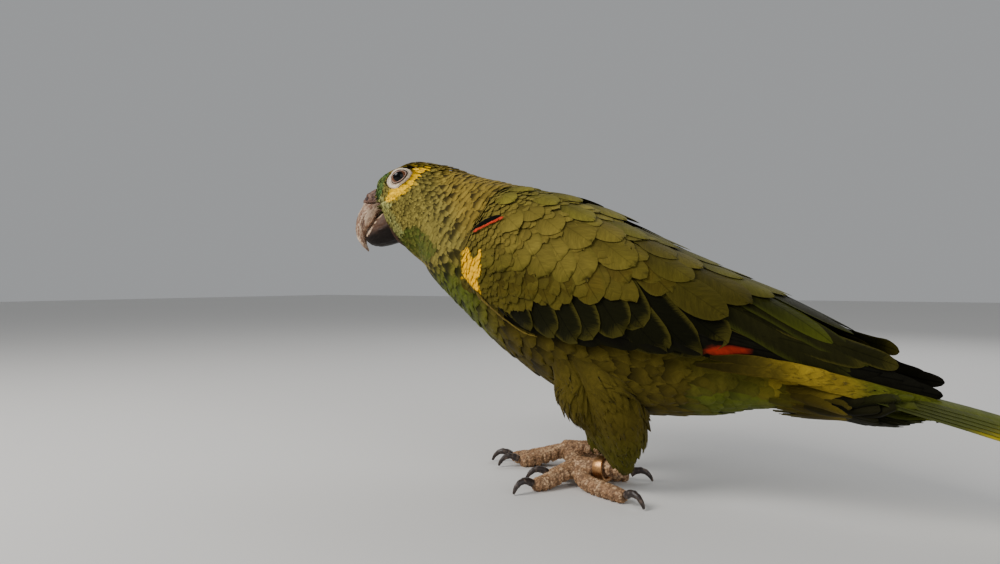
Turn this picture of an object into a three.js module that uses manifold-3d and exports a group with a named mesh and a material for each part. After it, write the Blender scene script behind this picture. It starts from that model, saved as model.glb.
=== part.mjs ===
// A life-size amazon parrot, standing on a floor, in millimetres with +Z up.
// The bird faces -X and its left side is -Y. Its head is turned a little to its left.
// Shapes are drawn with the bird's mid-plane at y = 0, and the whole bird is then shifted so
// that the origin is at the bottom centre of its box.
import * as THREE from 'three';
import { mergeVertices } from 'three/addons/utils/BufferGeometryUtils.js';
import Module from 'manifold-3d';

const wasm = await Module();
wasm.setup();

// ---------------------------------------------------------------- driving dimensions
const GAP = 0.3; // clearance left between neighbouring pieces
const FLOOR = 2.1; // height of the floor in the frame that the shapes are drawn in
const FAR = 200; // reach of cutting blocks, larger than the bird
const NEARBY = 0.05; // small step along a curve, counted in its rows, to find its direction

const BODY_SIDES = 24; // points round the head, neck and trunk
const BODY_STEPS = { head: 10, neck: 6, trunk: 9, rump: 7, clearance: 20 }; // rings along each
const EGG = -0.1; // how much narrower the upper half of a body section is
const FULLNESS = 2.3; // 2 is an ellipse, more is boxier

const EYE_POINT = [-115.2, -3, 165.6]; // between the two eyes
const HEAD_TURN = 20; // degrees to the bird's left
const HEAD_DIP = 20; // degrees that the bill points down
const EYE_RADIUS = 7.2;
const EYE_FACETS = [12, 9]; // round and from pole to pole
const EYE_SPREAD = 12; // from the head's middle to the centre of each eyeball

const FACE_DEPTH = 20.3; // the plane where the bill meets the feathers, ahead of the eyes

// Sections of the head in its own frame: crown and chin points are [forward, up] from the
// eyes, and w is the half width.
const HEAD_SECTIONS = [
  { crown: [FACE_DEPTH, 5.6], chin: [FACE_DEPTH - 0.5, -32.5], w: 11.5 },
  { crown: [17.8, 7.8], chin: [17.6, -35.5], w: 14.2 },
  { crown: [11.5, 10], chin: [14.4, -39.5], w: 17.4 },
  { crown: [2, 10.4], chin: [10.6, -45], w: 20 },
  { crown: [-9, 7.9], chin: [6.4, -52], w: 21.8 },
];

// Sections of the neck and trunk: back and belly points are [x, z], y is how far the
// section is carried to the right, and w is the half width.
const TRUNK_SECTIONS = [
  { back: [-86, 171], belly: [-93.5, 105], y: 2.5, w: 24 },
  { back: [-66, 165.5], belly: [-78, 92], y: 1.5, w: 27 },
  { back: [-44, 160], belly: [-61, 79], y: 0.5, w: 31 },
  { back: [-20, 153], belly: [-43.5, 66.5], y: 0, w: 34.5 },
  { back: [6, 138], belly: [-22, 53.5], y: 0, w: 36 },
  { back: [32, 122], belly: [3, 44], y: 0, w: 35 },
  { back: [57, 107], belly: [30, 39.5], y: 0, w: 31 },
  { back: [79, 93], belly: [58, 41], y: 0, w: 25.5 },
  { back: [97, 81], belly: [85, 45], y: 0, w: 20.5 },
  { back: [119, 67.5], belly: [119, 48.5], y: 0, w: 17.5 },
];

// Where the body is parted, counted in sections from the face.
const CLEARANCE_START = 3; // ahead of everything that is cut clear of the body
const HEAD_END = 4.3;
const NECK_END = 7.1;
const TRUNK_END = 11.4;
const RUMP_END = HEAD_SECTIONS.length + TRUNK_SECTIONS.length - 1;

// Tail: closed and roofed, its edges lower than its middle, and filled below its root by
// the coverts. Each section is [x, ridge z, half width, thickness, drop of the edges, fill].
const TAIL_SECTIONS = [
  [119.5, 66.5, 17.5, 6, 10.5, 17.5],
  [136, 62.4, 20, 5, 11.5, 15],
  [152, 58.6, 20, 4.4, 8, 9],
  [168, 54.9, 18.5, 4, 4.5, 4],
  [182, 51.2, 16, 3.6, 2.8, 3.6],
  [193, 48, 12, 3, 1.6, 3],
  [200, 45.6, 6, 2, 0.8, 2],
  [202, 44.8, 2, 1.4, 0.4, 1.4],
];
const TAIL_MESH = { steps: 12, sides: 18 };
const TAIL_FILL_POWER = 4; // how squarely the coverts fill the roof of the tail

// Folded wing: the envelope that both wings fill is [x, top z, middle z, half width].
const WING_ENVELOPE = [
  [-66, 152, 118, 31],
  [-52, 159, 115, 38.5],
  [-34, 158.5, 111, 43],
  [-12, 152, 105, 45],
  [12, 142, 99, 45.5],
  [36, 129, 93, 44],
  [64, 114.5, 84, 38.5],
  [92, 102, 77, 30],
  [118, 88.5, 71, 21],
  [136, 79, 67, 13.5],
  [149, 70, 62.5, 8.5],
  [157.5, 61.5, 58.5, 4],
];
// Outline of the folded wing seen from the side, [x, z], from the bend round the lower
// edge to the tip. Above it the envelope itself is the edge.
const WING_LOWER_EDGE = [
  [-57, 121], [-58.5, 113], [-52, 102], [-38, 92.5], [-20, 82.5], [0, 76.5], [30, 73.5],
  [64, 72.5], [96, 70.5], [124, 65], [144, 59.5], [157, 56.5],
];
const WING_FRONT = [[-54, 130], [-48, 140]]; // from the bend up to the shoulder
const WING_TIP = [162, 56.5]; // the outline's corner just behind the tip
const WING_CREST = -44; // where the outline's front edge leaves the top of the shoulder
const WING_MESH = { steps: 20, sides: 28, edge: 34 };
// The bare back between the shoulders narrows to a point behind.
const MANTLE = { front: -62, back: 38, halfWidth: 27, waist: 0.4, swell: 0.9, curve: 8 };
const MANTLE_MARGIN = 20; // how far the mantle's cutter runs on ahead
const MANTLE_BASE = 100; // the cutter's height, below the back and above the belly
// Lines that part the wing, [lower x, lower z] to [upper x, upper z].
const COVERT_LINE = [[-2, 60], [44, 140]];
const SECONDARY_LINE = [[54, 60], [104, 110]];
const WING_SLIT = 1; // gap between the two wings along the mid-line

// Legs. Each foot's places are [x, y, z], and its toes run through four of them.
const SHANK_RADII = [4.6, 4.1, 5];
const TOE_RADII = [4.2, 3.9, 3.9, 3.1];
const LIMB_MESH = { shank: [10, 6], toe: 8, claw: [6, 6] }; // sides, and rings along
const THIGH_MESH = { steps: 8, sides: 16 };
const CLAW_SHAPE = [
  { forward: 0.6, up: 4.4, radius: 1.9 },
  { forward: 4.4, up: 6.2, radius: 1.7 },
  { forward: 8.2, up: 5.4, radius: 1.3 },
  { forward: 10.6, up: 3, radius: 0.9 },
  { forward: 11.6, up: 0.8, radius: 0.5 },
];
const RING = { inner: 5, outer: 6.4, width: 5.2, along: 0.46, sides: 20 };
// Thigh sections: share -1 is the hip, 0 the knee and 1 the heel.
const THIGH_SECTIONS = [
  { share: -1, depth: 25, width: 9 },
  { share: 0, depth: 22.5, width: 13.5 },
  { share: 0.42, depth: 17, width: 11.5 },
  { share: 0.74, depth: 11.5, width: 8.5 },
  { share: 1.05, depth: 5, width: 4.8 },
];

const LEFT_LEG = {
  hip: [10, -17, 78],
  knee: [15, -22, 50],
  ankle: [24, -13.5, 14],
  foot: [-2, -10, 11],
  toes: {
    outer_front: [[-3, -11, 10.2], [-8, -20, 8], [-12.5, -29, 5.6], [-15.5, -35, 5.5]],
    inner_front: [[-4.5, -8, 10.2], [-9.5, -9.3, 8], [-14, -11.3, 5.6], [-17.5, -13.5, 5.5]],
    outer_rear: [[0, -13.5, 9.2], [7, -20.8, 6.4], [19, -26, 5.6], [31, -31.5, 5.5]],
    inner_rear: [[0.5, -6, 8.8], [7, 1, 6.2], [13.5, 4.5, 5.6], [19.5, 6.5, 5.5]],
  },
};
const RIGHT_LEG = {
  hip: [4, 17, 78],
  knee: [1, 22, 50],
  ankle: [-2, 20, 14.5],
  foot: [-24, 20.5, 11.4],
  toes: {
    outer_front: [[-25, 20.5, 10.4], [-35, 17, 8], [-45, 13.5, 5.6], [-52.5, 11, 5.5]],
    inner_front: [[-26, 18, 10.2], [-33, 13, 7.6], [-39.5, 8, 5.6], [-44.5, 4.5, 5.5]],
    outer_rear: [[-21, 23, 9.8], [-16.5, 30, 7.4], [-11.5, 36.5, 5.6], [-8, 41, 5.5]],
    inner_rear: [[-20.5, 19, 9.4], [-15, 14.6, 7], [-10, 11, 5.6], [-6, 8.5, 5.5]],
  },
};

// Bill, in the head's frame: ridge and edge points are [forward, up], w is the half width.
const UPPER_BILL = [
  { ridge: [FACE_DEPTH + GAP, 3.2], edge: [FACE_DEPTH + GAP, -9.2], w: 8.6 },
  { ridge: [26.2, 1.6], edge: [24.3, -11.6], w: 8.4 },
  { ridge: [32, -3.4], edge: [28.2, -15], w: 7.6 },
  { ridge: [37.6, -8.4], edge: [31.6, -17.2], w: 6.6 },
  { ridge: [41.2, -14.2], edge: [34.4, -18], w: 5.2 },
  { ridge: [42.2, -20.4], edge: [36.8, -21.2], w: 3.8 },
  { ridge: [41.2, -26], edge: [38.2, -25.4], w: 2.2 },
  { ridge: [39, -30.4], edge: [38, -30], w: 0.8 },
];
const LOWER_BILL = [
  { ridge: [FACE_DEPTH + GAP, -11.8], edge: [FACE_DEPTH + GAP, -32], w: 9.6 },
  { ridge: [25, -13.6], edge: [26, -31], w: 9 },
  { ridge: [28.6, -17.2], edge: [30.4, -29], w: 7.6 },
  { ridge: [31.2, -19.4], edge: [33.2, -26.4], w: 5.8 },
  { ridge: [33.4, -20.8], edge: [34.4, -23.4], w: 3.6 },
];
const BILL_SIDES = 14;
const BILL_EGG = 0.06;
const CERE_PROUD = 0.4; // how far the cere stands out from the horn
const CERE_LINE = [[33, -1], [17, -8.5]]; // the cere is the bill's skin above and behind it

// ---------------------------------------------------------------- materials
const finish = (color, roughness) =>
  new THREE.MeshStandardMaterial({ color, roughness, metalness: 0 });
const GREEN = finish(0x65751f, 0.75);
const WING_GREEN = finish(0x4d5c1c, 0.7);
const FLIGHT_GREEN = finish(0x2f3b14, 0.65);
const TAIL_GREEN = finish(0x6f8f1e, 0.65);
const HORN = finish(0x8a7d74, 0.45);
const DARK_HORN = finish(0x4c423b, 0.5);
const CERE_SKIN = finish(0x5a4038, 0.6);
const EYE_DARK = finish(0x140c08, 0.08);
const LEG_SKIN = finish(0xb08a62, 0.7);
const CLAW_HORN = finish(0x2b2421, 0.4);
const BAND_METAL = new THREE.MeshStandardMaterial({ color: 0xb98546, roughness: 0.45, metalness: 0.6 });

// ---------------------------------------------------------------- closed shapes
const vector = (point) => new THREE.Vector3(...point);

// A closed surface through rings that all have the same number of points.
function loft(rings) {
  const sides = rings[0].length;
  const positions = rings.flat().flatMap((point) => point.toArray());
  const faces = [];
  for (let ring = 0; ring + 1 < rings.length; ring += 1) {
    for (let side = 0; side < sides; side += 1) {
      const next = (side + 1) % sides;
      const a = ring * sides + side;
      const b = ring * sides + next;
      faces.push(a, b, b + sides, a, b + sides, a + sides);
    }
  }
  for (const ring of [0, rings.length - 1]) {
    const centre = new THREE.Vector3();
    for (const point of rings[ring]) {
      centre.addScaledVector(point, 1 / sides);
    }
    const hub = positions.length / 3;
    positions.push(...centre.toArray());
    for (let side = 0; side < sides; side += 1) {
      const here = ring * sides + side;
      const next = ring * sides + ((side + 1) % sides);
      faces.push(...(ring === 0 ? [hub, next, here] : [hub, here, next]));
    }
  }
  const geometry = new THREE.BufferGeometry();
  geometry.setAttribute('position', new THREE.Float32BufferAttribute(positions, 3));
  geometry.setIndex(signedVolume(positions, faces) > 0 ? faces : faces.reverse());
  return geometry;
}

function signedVolume(positions, faces) {
  let volume = 0;
  for (let face = 0; face < faces.length; face += 3) {
    const [a, b, c] = faces.slice(face, face + 3).map(
      (index) => new THREE.Vector3().fromArray(positions, index * 3));
    volume += a.dot(b.cross(c)) / 6;
  }
  return volume;
}

function solid(geometry) {
  const bare = geometry.clone();
  bare.deleteAttribute('normal');
  bare.deleteAttribute('uv');
  const merged = mergeVertices(bare);
  return new wasm.Manifold(new wasm.Mesh({
    numProp: 3,
    vertProperties: new Float32Array(merged.attributes.position.array),
    triVerts: new Uint32Array(merged.index.array),
  }));
}

function surface(manifold) {
  const { vertProperties, triVerts } = manifold.getMesh();
  const geometry = new THREE.BufferGeometry();
  geometry.setAttribute('position', new THREE.BufferAttribute(vertProperties, 3));
  geometry.setIndex(new THREE.BufferAttribute(triVerts, 1));
  return geometry;
}

// A plate whose outline [x, z] is seen from the side, from y = low to y = high.
function sidePlate(outline, low, high) {
  const shape = new THREE.Shape(outline.map(([x, z]) => new THREE.Vector2(x, z)));
  const plate = new THREE.ExtrudeGeometry(shape, { depth: high - low, bevelEnabled: false });
  plate.rotateX(Math.PI / 2);
  plate.translate(0, high, 0);
  return solid(plate);
}

// Everything behind (or, for ahead, in front of) a line drawn in the side view.
function sideOf([[x0, z0], [x1, z1]], ahead, shift) {
  const length = Math.hypot(x1 - x0, z1 - z0);
  const along = [(x1 - x0) / length, (z1 - z0) / length];
  const across = ahead ? [-along[1], along[0]] : [along[1], -along[0]];
  const place = (s, t) => [
    x0 + along[0] * s + across[0] * t,
    z0 + along[1] * s + across[1] * t,
  ];
  const outline = [place(-FAR, shift), place(FAR, shift), place(FAR, FAR), place(-FAR, FAR)];
  return sidePlate(outline, -FAR, FAR);
}

// Smooth values between rows of numbers; at(1.5) is halfway from row 1 to row 2.
function smoothRows(rows) {
  const size = rows[0].length;
  const curve = new THREE.CubicInterpolant(rows.map((row, index) => index), rows.flat(), size);
  return (position) => Array.from(curve.evaluate(position));
}

const steps = (from, to, count) =>
  Array.from({ length: count + 1 }, (unused, index) => from + ((to - from) * index) / count);

// ---------------------------------------------------------------- body
const headFrame = new THREE.Matrix4().compose(
  vector(EYE_POINT),
  new THREE.Quaternion().setFromEuler(new THREE.Euler(
    0, THREE.MathUtils.degToRad(HEAD_DIP), THREE.MathUtils.degToRad(180 + HEAD_TURN), 'ZYX')),
  new THREE.Vector3(1, 1, 1));
const headPoint = (forward, left, up) => new THREE.Vector3(forward, left, up).applyMatrix4(headFrame);

function bodyRows() {
  const headSide = new THREE.Vector3(0, 1, 0).transformDirection(headFrame).negate();
  const rows = HEAD_SECTIONS.map(({ crown, chin, w }) => [
    ...headPoint(crown[0], 0, crown[1]).toArray(),
    ...headPoint(chin[0], 0, chin[1]).toArray(),
    ...headSide.toArray(),
    w,
  ]);
  for (const { back, belly, y, w } of TRUNK_SECTIONS) {
    rows.push([back[0], y, back[1], belly[0], y, belly[1], 0, 1, 0, w]);
  }
  return rows;
}
const bodyAt = smoothRows(bodyRows());

// One ring of the body's skin line, grown outwards by a clearance.
function bodyRing(position, grow = 0) {
  const row = bodyAt(position);
  const top = vector(row.slice(0, 3));
  const bottom = vector(row.slice(3, 6));
  const across = vector(row.slice(6, 9)).normalize();
  const middle = top.clone().add(bottom).multiplyScalar(0.5);
  const rise = top.clone().sub(bottom).multiplyScalar(0.5);
  const up = rise.clone().normalize();
  return sectionRing(middle, across, up, row[9] + grow, rise.length() + grow, EGG, BODY_SIDES);
}

function sectionRing(middle, across, up, halfWidth, halfHeight, egg, sides) {
  const power = 2 / FULLNESS;
  return steps(0, 2 * Math.PI, sides).slice(0, sides).map((angle) => {
    const sine = Math.sin(angle);
    const cosine = Math.cos(angle);
    const width = halfWidth * Math.sign(cosine) * Math.abs(cosine) ** power * (1 + egg * sine);
    const height = halfHeight * Math.sign(sine) * Math.abs(sine) ** power;
    return middle.clone().addScaledVector(across, width).addScaledVector(up, height);
  });
}

function bodyPiece(from, to, count, grow = 0) {
  return loft(steps(from, to, count).map((position) => bodyRing(position, grow)));
}

// Half of the gap between two pieces of the body, in section counts.
function partingAt(position) {
  const [before, after] = [-NEARBY, NEARBY].map((change) => bodyAt(position + change));
  const gaps = [0, 3].map((start) => Math.hypot(
    after[start] - before[start], after[start + 1] - before[start + 1],
    after[start + 2] - before[start + 2]));
  return (GAP * NEARBY) / Math.min(...gaps);
}

const eyeCentre = (side) => headPoint(1, side * EYE_SPREAD, 0);

function eyeball(side, radius) {
  const ball = new THREE.SphereGeometry(radius, ...EYE_FACETS);
  ball.translate(...eyeCentre(side).toArray());
  return ball;
}

function head() {
  let skull = solid(bodyPiece(0, HEAD_END - partingAt(HEAD_END), BODY_STEPS.head));
  for (const side of [1, -1]) {
    skull = skull.subtract(solid(eyeball(side, EYE_RADIUS + GAP)));
  }
  return surface(skull);
}

const neck = () => bodyPiece(
  HEAD_END + partingAt(HEAD_END), NECK_END - partingAt(NECK_END), BODY_STEPS.neck);
const trunk = () => bodyPiece(
  NECK_END + partingAt(NECK_END), TRUNK_END - partingAt(TRUNK_END), BODY_STEPS.trunk);
const rump = () => bodyPiece(TRUNK_END + partingAt(TRUNK_END), RUMP_END, BODY_STEPS.rump);

// The whole body in one piece, a little larger, to cut its neighbours with.
const bodyClearance = (grow) =>
  solid(bodyPiece(CLEARANCE_START, RUMP_END, BODY_STEPS.clearance, grow));

// ---------------------------------------------------------------- tail and wings
function tail(grow = 0) {
  const at = smoothRows(TAIL_SECTIONS);
  return loft(steps(0, TAIL_SECTIONS.length - 1, TAIL_MESH.steps).map((position, index) => {
    const [x, ridge, halfWidth, thickness, drop, fill] = at(position);
    const middle = new THREE.Vector3(index === 0 ? x - grow : x, 0, ridge - thickness / 2);
    const ring = sectionRing(middle, new THREE.Vector3(0, 1, 0), new THREE.Vector3(0, 0, 1),
      halfWidth + grow, thickness / 2 + grow, 0, TAIL_MESH.sides);
    for (const point of ring) {
      const underside = point.z < middle.z;
      point.z -= drop * (point.y / halfWidth) ** 2;
      if (underside) {
        const filled = fill * (1 - (point.y / halfWidth) ** TAIL_FILL_POWER);
        point.z = Math.min(point.z, ridge - filled - grow);
      }
    }
    return ring;
  }));
}

function wingEnvelope() {
  const at = smoothRows(WING_ENVELOPE);
  const rings = steps(0, WING_ENVELOPE.length - 1, WING_MESH.steps).map((position) => {
    const [x, top, middle, halfWidth] = at(position);
    return sectionRing(new THREE.Vector3(x, 0, middle), new THREE.Vector3(0, 1, 0),
      new THREE.Vector3(0, 0, 1), halfWidth, top - middle, 0, WING_MESH.sides);
  });
  return solid(loft(rings));
}

function wingSideOutline() {
  const lower = new THREE.SplineCurve(
    [...WING_FRONT].reverse().concat(WING_LOWER_EDGE).map(([x, z]) => new THREE.Vector2(x, z)));
  const points = lower.getPoints(WING_MESH.edge).map((point) => [point.x, point.y]);
  return [...points, WING_TIP, [WING_TIP[0], FAR], [WING_CREST, FAR]];
}

function mantleCutter() {
  const { front, back, halfWidth, waist, swell, curve } = MANTLE;
  const shape = new THREE.Shape();
  shape.moveTo(front - MANTLE_MARGIN, -halfWidth);
  shape.lineTo(front, -halfWidth);
  shape.quadraticCurveTo(back * waist, -halfWidth * swell, back, 0);
  shape.quadraticCurveTo(back * waist, halfWidth * swell, front, halfWidth);
  shape.lineTo(front - MANTLE_MARGIN, halfWidth);
  const cutter = new THREE.ExtrudeGeometry(
    shape, { depth: FAR, bevelEnabled: false, curveSegments: curve });
  cutter.translate(0, 0, MANTLE_BASE);
  return solid(cutter);
}

// Both wings in one, before they are parted.
function foldedWings() {
  const outline = sidePlate(wingSideOutline(), -FAR, FAR);
  const middle = new THREE.BoxGeometry(3 * FAR, WING_SLIT, 3 * FAR);
  return wingEnvelope()
    .intersect(outline)
    .subtract(bodyClearance(GAP))
    .subtract(solid(tail(GAP)))
    .subtract(mantleCutter())
    .subtract(solid(middle));
}

function wingPieces() {
  const both = foldedWings();
  const pieces = [];
  for (const [name, low, high] of [['left', -FAR, 0], ['right', 0, FAR]]) {
    const half = both.intersect(
      sidePlate([[-FAR, 0], [2 * FAR, 0], [2 * FAR, FAR], [-FAR, FAR]], low, high));
    const shoulder = half.intersect(sideOf(COVERT_LINE, true, GAP / 2));
    const behind = half.intersect(sideOf(COVERT_LINE, false, GAP / 2));
    const secondaries = behind.intersect(sideOf(SECONDARY_LINE, true, GAP / 2));
    const primaries = behind.intersect(sideOf(SECONDARY_LINE, false, GAP / 2));
    pieces.push([`wing_${name}_coverts`, surfaceOfLargest(shoulder), WING_GREEN]);
    pieces.push([`wing_${name}_secondaries`, surfaceOfLargest(secondaries), WING_GREEN]);
    pieces.push([`wing_${name}_primaries`, surfaceOfLargest(primaries), FLIGHT_GREEN]);
  }
  return pieces;
}

// The main body of a cut shape, without the chips that a cut can leave.
function surfaceOfLargest(manifold) {
  const parts = manifold.decompose();
  parts.sort((a, b) => b.volume() - a.volume());
  return surface(parts[0]);
}

// ---------------------------------------------------------------- legs
// A round limb through [x, y, z] places with a radius at each.
function limb(places, radii, sides, count) {
  const at = smoothRows(places.map((place, index) => [...place, radii[index]]));
  const last = places.length - 1;
  const rings = steps(0, last, count).map((position) => {
    const here = at(position);
    const ahead = vector(at(Math.min(position + NEARBY, last)));
    const behind = vector(at(Math.max(position - NEARBY, 0)));
    const along = ahead.sub(behind).normalize();
    const across = new THREE.Vector3(0, 0, 1).cross(along).normalize();
    const up = along.clone().cross(across);
    return steps(0, 2 * Math.PI, sides).slice(0, sides).map((angle) => vector(here.slice(0, 3))
      .addScaledVector(across, here[3] * Math.cos(angle))
      .addScaledVector(up, here[3] * Math.sin(angle)));
  });
  return loft(rings);
}

const aboveFloor = () => {
  const block = new THREE.BoxGeometry(2 * FAR, 2 * FAR, FAR);
  block.translate(0, 0, FLOOR + FAR / 2);
  return solid(block);
};

const mixed = (a, b, share) => a.map((value, index) => value + (b[index] - value) * share);

// The thigh is a cone of feathers, deeper from front to back than it is wide.
function thigh({ hip, knee, ankle }) {
  const rows = THIGH_SECTIONS.map(({ share, depth, width }) => {
    const place = share < 0 ? mixed(hip, knee, 1 + share) : mixed(knee, ankle, share);
    return [...place, depth, width];
  });
  const at = smoothRows(rows);
  const cone = loft(steps(0, rows.length - 1, THIGH_MESH.steps).map((position) => {
    const [x, y, z, depth, width] = at(position);
    return sectionRing(new THREE.Vector3(x, y, z), new THREE.Vector3(0, 1, 0),
      new THREE.Vector3(1, 0, 0), width, depth, 0, THIGH_MESH.sides);
  }));
  return solid(cone).subtract(bodyClearance(GAP));
}

// The bare shank runs forward from the heel, which the thigh's feathers hide.
function shank({ ankle, foot }, grow) {
  const places = [ankle, mixed(ankle, foot, 0.5), foot];
  return solid(limb(places, SHANK_RADII.map((radius) => radius + grow), ...LIMB_MESH.shank));
}

// A toe through its places, or the room that it takes up when it is grown.
function toe(places, grow) {
  const radii = places.map((place, index) => TOE_RADII[index] + grow);
  return solid(limb(places, radii, LIMB_MESH.toe, 2 * (places.length - 1)));
}

// A claw leaves the toe's end, rises a little and curves down to the floor.
function claw(places) {
  const end = vector(places[places.length - 1]);
  const ahead = end.clone().sub(vector(places[places.length - 2])).setZ(0).normalize();
  const points = CLAW_SHAPE.map(({ forward, up }) => {
    const point = end.clone().addScaledVector(ahead, forward);
    return [point.x, point.y, FLOOR + up];
  });
  const radii = CLAW_SHAPE.map(({ radius }) => radius);
  return solid(limb(points, radii, ...LIMB_MESH.claw)).intersect(aboveFloor());
}

// The flat ring hangs loosely on the left shank.
function legRing({ ankle, foot }, inner, outer, width) {
  const half = width / 2;
  const corners = [[inner, -half], [outer, -half], [outer, half], [inner, half], [inner, -half]];
  const ring = new THREE.LatheGeometry(corners.map(([r, y]) => new THREE.Vector2(r, y)), RING.sides);
  const axis = vector(foot).sub(vector(ankle)).normalize();
  ring.applyQuaternion(new THREE.Quaternion().setFromUnitVectors(new THREE.Vector3(0, 1, 0), axis));
  const centre = vector(mixed(ankle, foot, RING.along));
  centre.z -= RING.inner - SHANK_RADII[1] - GAP;
  ring.translate(...centre.toArray());
  return solid(ring);
}

// Thigh, shank, toes and claws of one side, each cut clear of what it grows from.
function legPieces(side, leg) {
  const ringRoom = legRing(leg, RING.inner - 1, RING.outer + GAP, RING.width + 2 * GAP);
  const legThigh = thigh(leg).subtract(shank(leg, GAP)).subtract(ringRoom);
  const pieces = [
    [`thigh_${side}`, surfaceOfLargest(legThigh), GREEN],
    [`shank_${side}`, surface(shank(leg, 0)), LEG_SKIN],
  ];
  let taken = shank(leg, GAP);
  for (const [name, places] of Object.entries(leg.toes)) {
    const shape = toe(places, 0).intersect(aboveFloor()).subtract(taken);
    pieces.push([`toe_${side}_${name}`, surfaceOfLargest(shape), LEG_SKIN]);
    const talon = claw(places).subtract(toe(places, GAP));
    pieces.push([`claw_${side}_${name}`, surfaceOfLargest(talon), CLAW_HORN]);
    taken = taken.add(toe(places, GAP));
  }
  return pieces;
}

// ---------------------------------------------------------------- bill and eyes
function billLoft(sections, grow = 0) {
  const at = smoothRows(sections.map(({ ridge, edge, w }) => [...ridge, ...edge, w]));
  const rings = steps(0, sections.length - 1, 2 * (sections.length - 1)).map((position) => {
    const [ridgeX, ridgeZ, edgeX, edgeZ, w] = at(position);
    const top = headPoint(ridgeX, 0, ridgeZ);
    const bottom = headPoint(edgeX, 0, edgeZ);
    const rise = top.clone().sub(bottom).multiplyScalar(0.5);
    const across = new THREE.Vector3(0, 1, 0).transformDirection(headFrame);
    const middle = top.clone().add(bottom).multiplyScalar(0.5);
    const up = rise.clone().normalize();
    return sectionRing(
      middle, across, up, w + grow, rise.length() + grow, BILL_EGG, BILL_SIDES);
  });
  return solid(loft(rings));
}

// The part of the head's frame above and behind the cere's line, or the rest of it.
function cereSide(above, shift) {
  const cutter = surface(sideOf(CERE_LINE, !above, shift));
  cutter.applyMatrix4(headFrame);
  return solid(cutter);
}

// ---------------------------------------------------------------- assembly
const bird = new THREE.Group();
const add = (name, geometry, material) => {
  const mesh = new THREE.Mesh(geometry, material);
  mesh.name = name;
  bird.add(mesh);
};

add('head', head(), GREEN);
add('neck', neck(), GREEN);
add('trunk', trunk(), GREEN);
add('rump', rump(), GREEN);
add('tail', surface(solid(tail())), TAIL_GREEN);
for (const [name, geometry, material] of wingPieces()) {
  add(name, geometry, material);
}
const cere = billLoft(UPPER_BILL, CERE_PROUD).intersect(cereSide(true, GAP / 2));
add('cere', surface(cere), CERE_SKIN);
add('bill_upper', surface(billLoft(UPPER_BILL).intersect(cereSide(false, GAP / 2))), HORN);
add('bill_lower', surface(billLoft(LOWER_BILL)), DARK_HORN);
add('eye_left', eyeball(1, EYE_RADIUS), EYE_DARK);
add('eye_right', eyeball(-1, EYE_RADIUS), EYE_DARK);
for (const [side, leg] of [['left', LEFT_LEG], ['right', RIGHT_LEG]]) {
  for (const [name, geometry, material] of legPieces(side, leg)) {
    add(name, geometry, material);
  }
}
add('leg_ring', surface(legRing(LEFT_LEG, RING.inner, RING.outer, RING.width)), BAND_METAL);

const box = new THREE.Box3().setFromObject(bird);
const middle = box.getCenter(new THREE.Vector3());
bird.position.set(-middle.x, -middle.y, -box.min.z);

export default bird;
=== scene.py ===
"""A life-size amazon parrot in its plumage, standing on a studio floor.

Everything is in metres in the model's own frame: the bird faces -X and its left side is -Y.
Lengths named in the tables below are in millimetres unless they say otherwise.
"""

import math
from typing import NamedTuple

import bmesh
import bpy
import numpy as np
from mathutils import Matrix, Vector
from mathutils.bvhtree import BVHTree


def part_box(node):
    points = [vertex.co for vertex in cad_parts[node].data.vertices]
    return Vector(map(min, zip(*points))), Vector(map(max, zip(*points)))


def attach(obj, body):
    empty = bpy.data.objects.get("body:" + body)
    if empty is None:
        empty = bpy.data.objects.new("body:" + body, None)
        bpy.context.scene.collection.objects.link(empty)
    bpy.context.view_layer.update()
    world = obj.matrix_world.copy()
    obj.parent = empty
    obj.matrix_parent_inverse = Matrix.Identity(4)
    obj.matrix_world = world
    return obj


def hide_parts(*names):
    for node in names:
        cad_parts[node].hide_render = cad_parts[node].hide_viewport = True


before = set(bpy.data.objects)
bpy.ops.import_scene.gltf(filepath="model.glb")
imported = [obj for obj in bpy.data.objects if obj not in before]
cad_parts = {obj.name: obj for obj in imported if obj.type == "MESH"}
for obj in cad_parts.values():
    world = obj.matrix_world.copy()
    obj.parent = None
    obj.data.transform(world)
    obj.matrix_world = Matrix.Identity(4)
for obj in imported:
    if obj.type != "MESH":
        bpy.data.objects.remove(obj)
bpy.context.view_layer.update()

bl_info = {
    "name": "Amazon Parrot",
    "version": (1, 0, 0),
    "blender": (4, 5, 0),
    "location": "View3D > Sidebar > Parrot",
    "description": "Builds an amazon parrot's skin, plumage, bill, eyes and feet round its solids",
    "category": "Add Mesh",
}

MM = 0.001
BODY = "root"
SIDES = (("left", 1), ("right", -1))
TOES = ("outer_front", "inner_front", "outer_rear", "inner_rear")
UP = np.array((0.0, 0.0, 1.0))

HEAD_DIP = math.radians(20)  # how far the bill points down

# Hoops round the head, from the bill back: forward and up of their crown and chin points.
HEAD_HOOPS = [
    (20.6, 5.2, 20.2, -32), (13, 9.6, 17.5, -34.5), (1, 10.6, 15, -36.5), (-14, 5.2, 12.5, -41),
]
# Hoops round the neck, trunk and tail: x and z of their back and belly points.
BODY_HOOPS = [
    (-102, 165, -131, 111), (-80, 159.5, -120, 98), (-61, 155, -106, 86), (-43, 149.5, -88, 73),
    (-26, 141, -67, 58.6), (-10, 131, -44, 48), (10, 117.5, -22, 41.5), (30, 104.5, 4, 37.5),
    (51, 91.5, 31, 39), (70, 79, 58, 43), (91, 66.5, 84, 46.5), (112, 61, 104, 45.5),
    (128, 57, 122, 47.5), (146, 52, 142, 46.5), (163, 47.5, 160, 43.5),
]
HOOP_STEPS = 12  # places taken between one hoop and the next
HOOP_ANGLES = 180
NEVER = -9.0  # a distance that counts as far off


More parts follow.
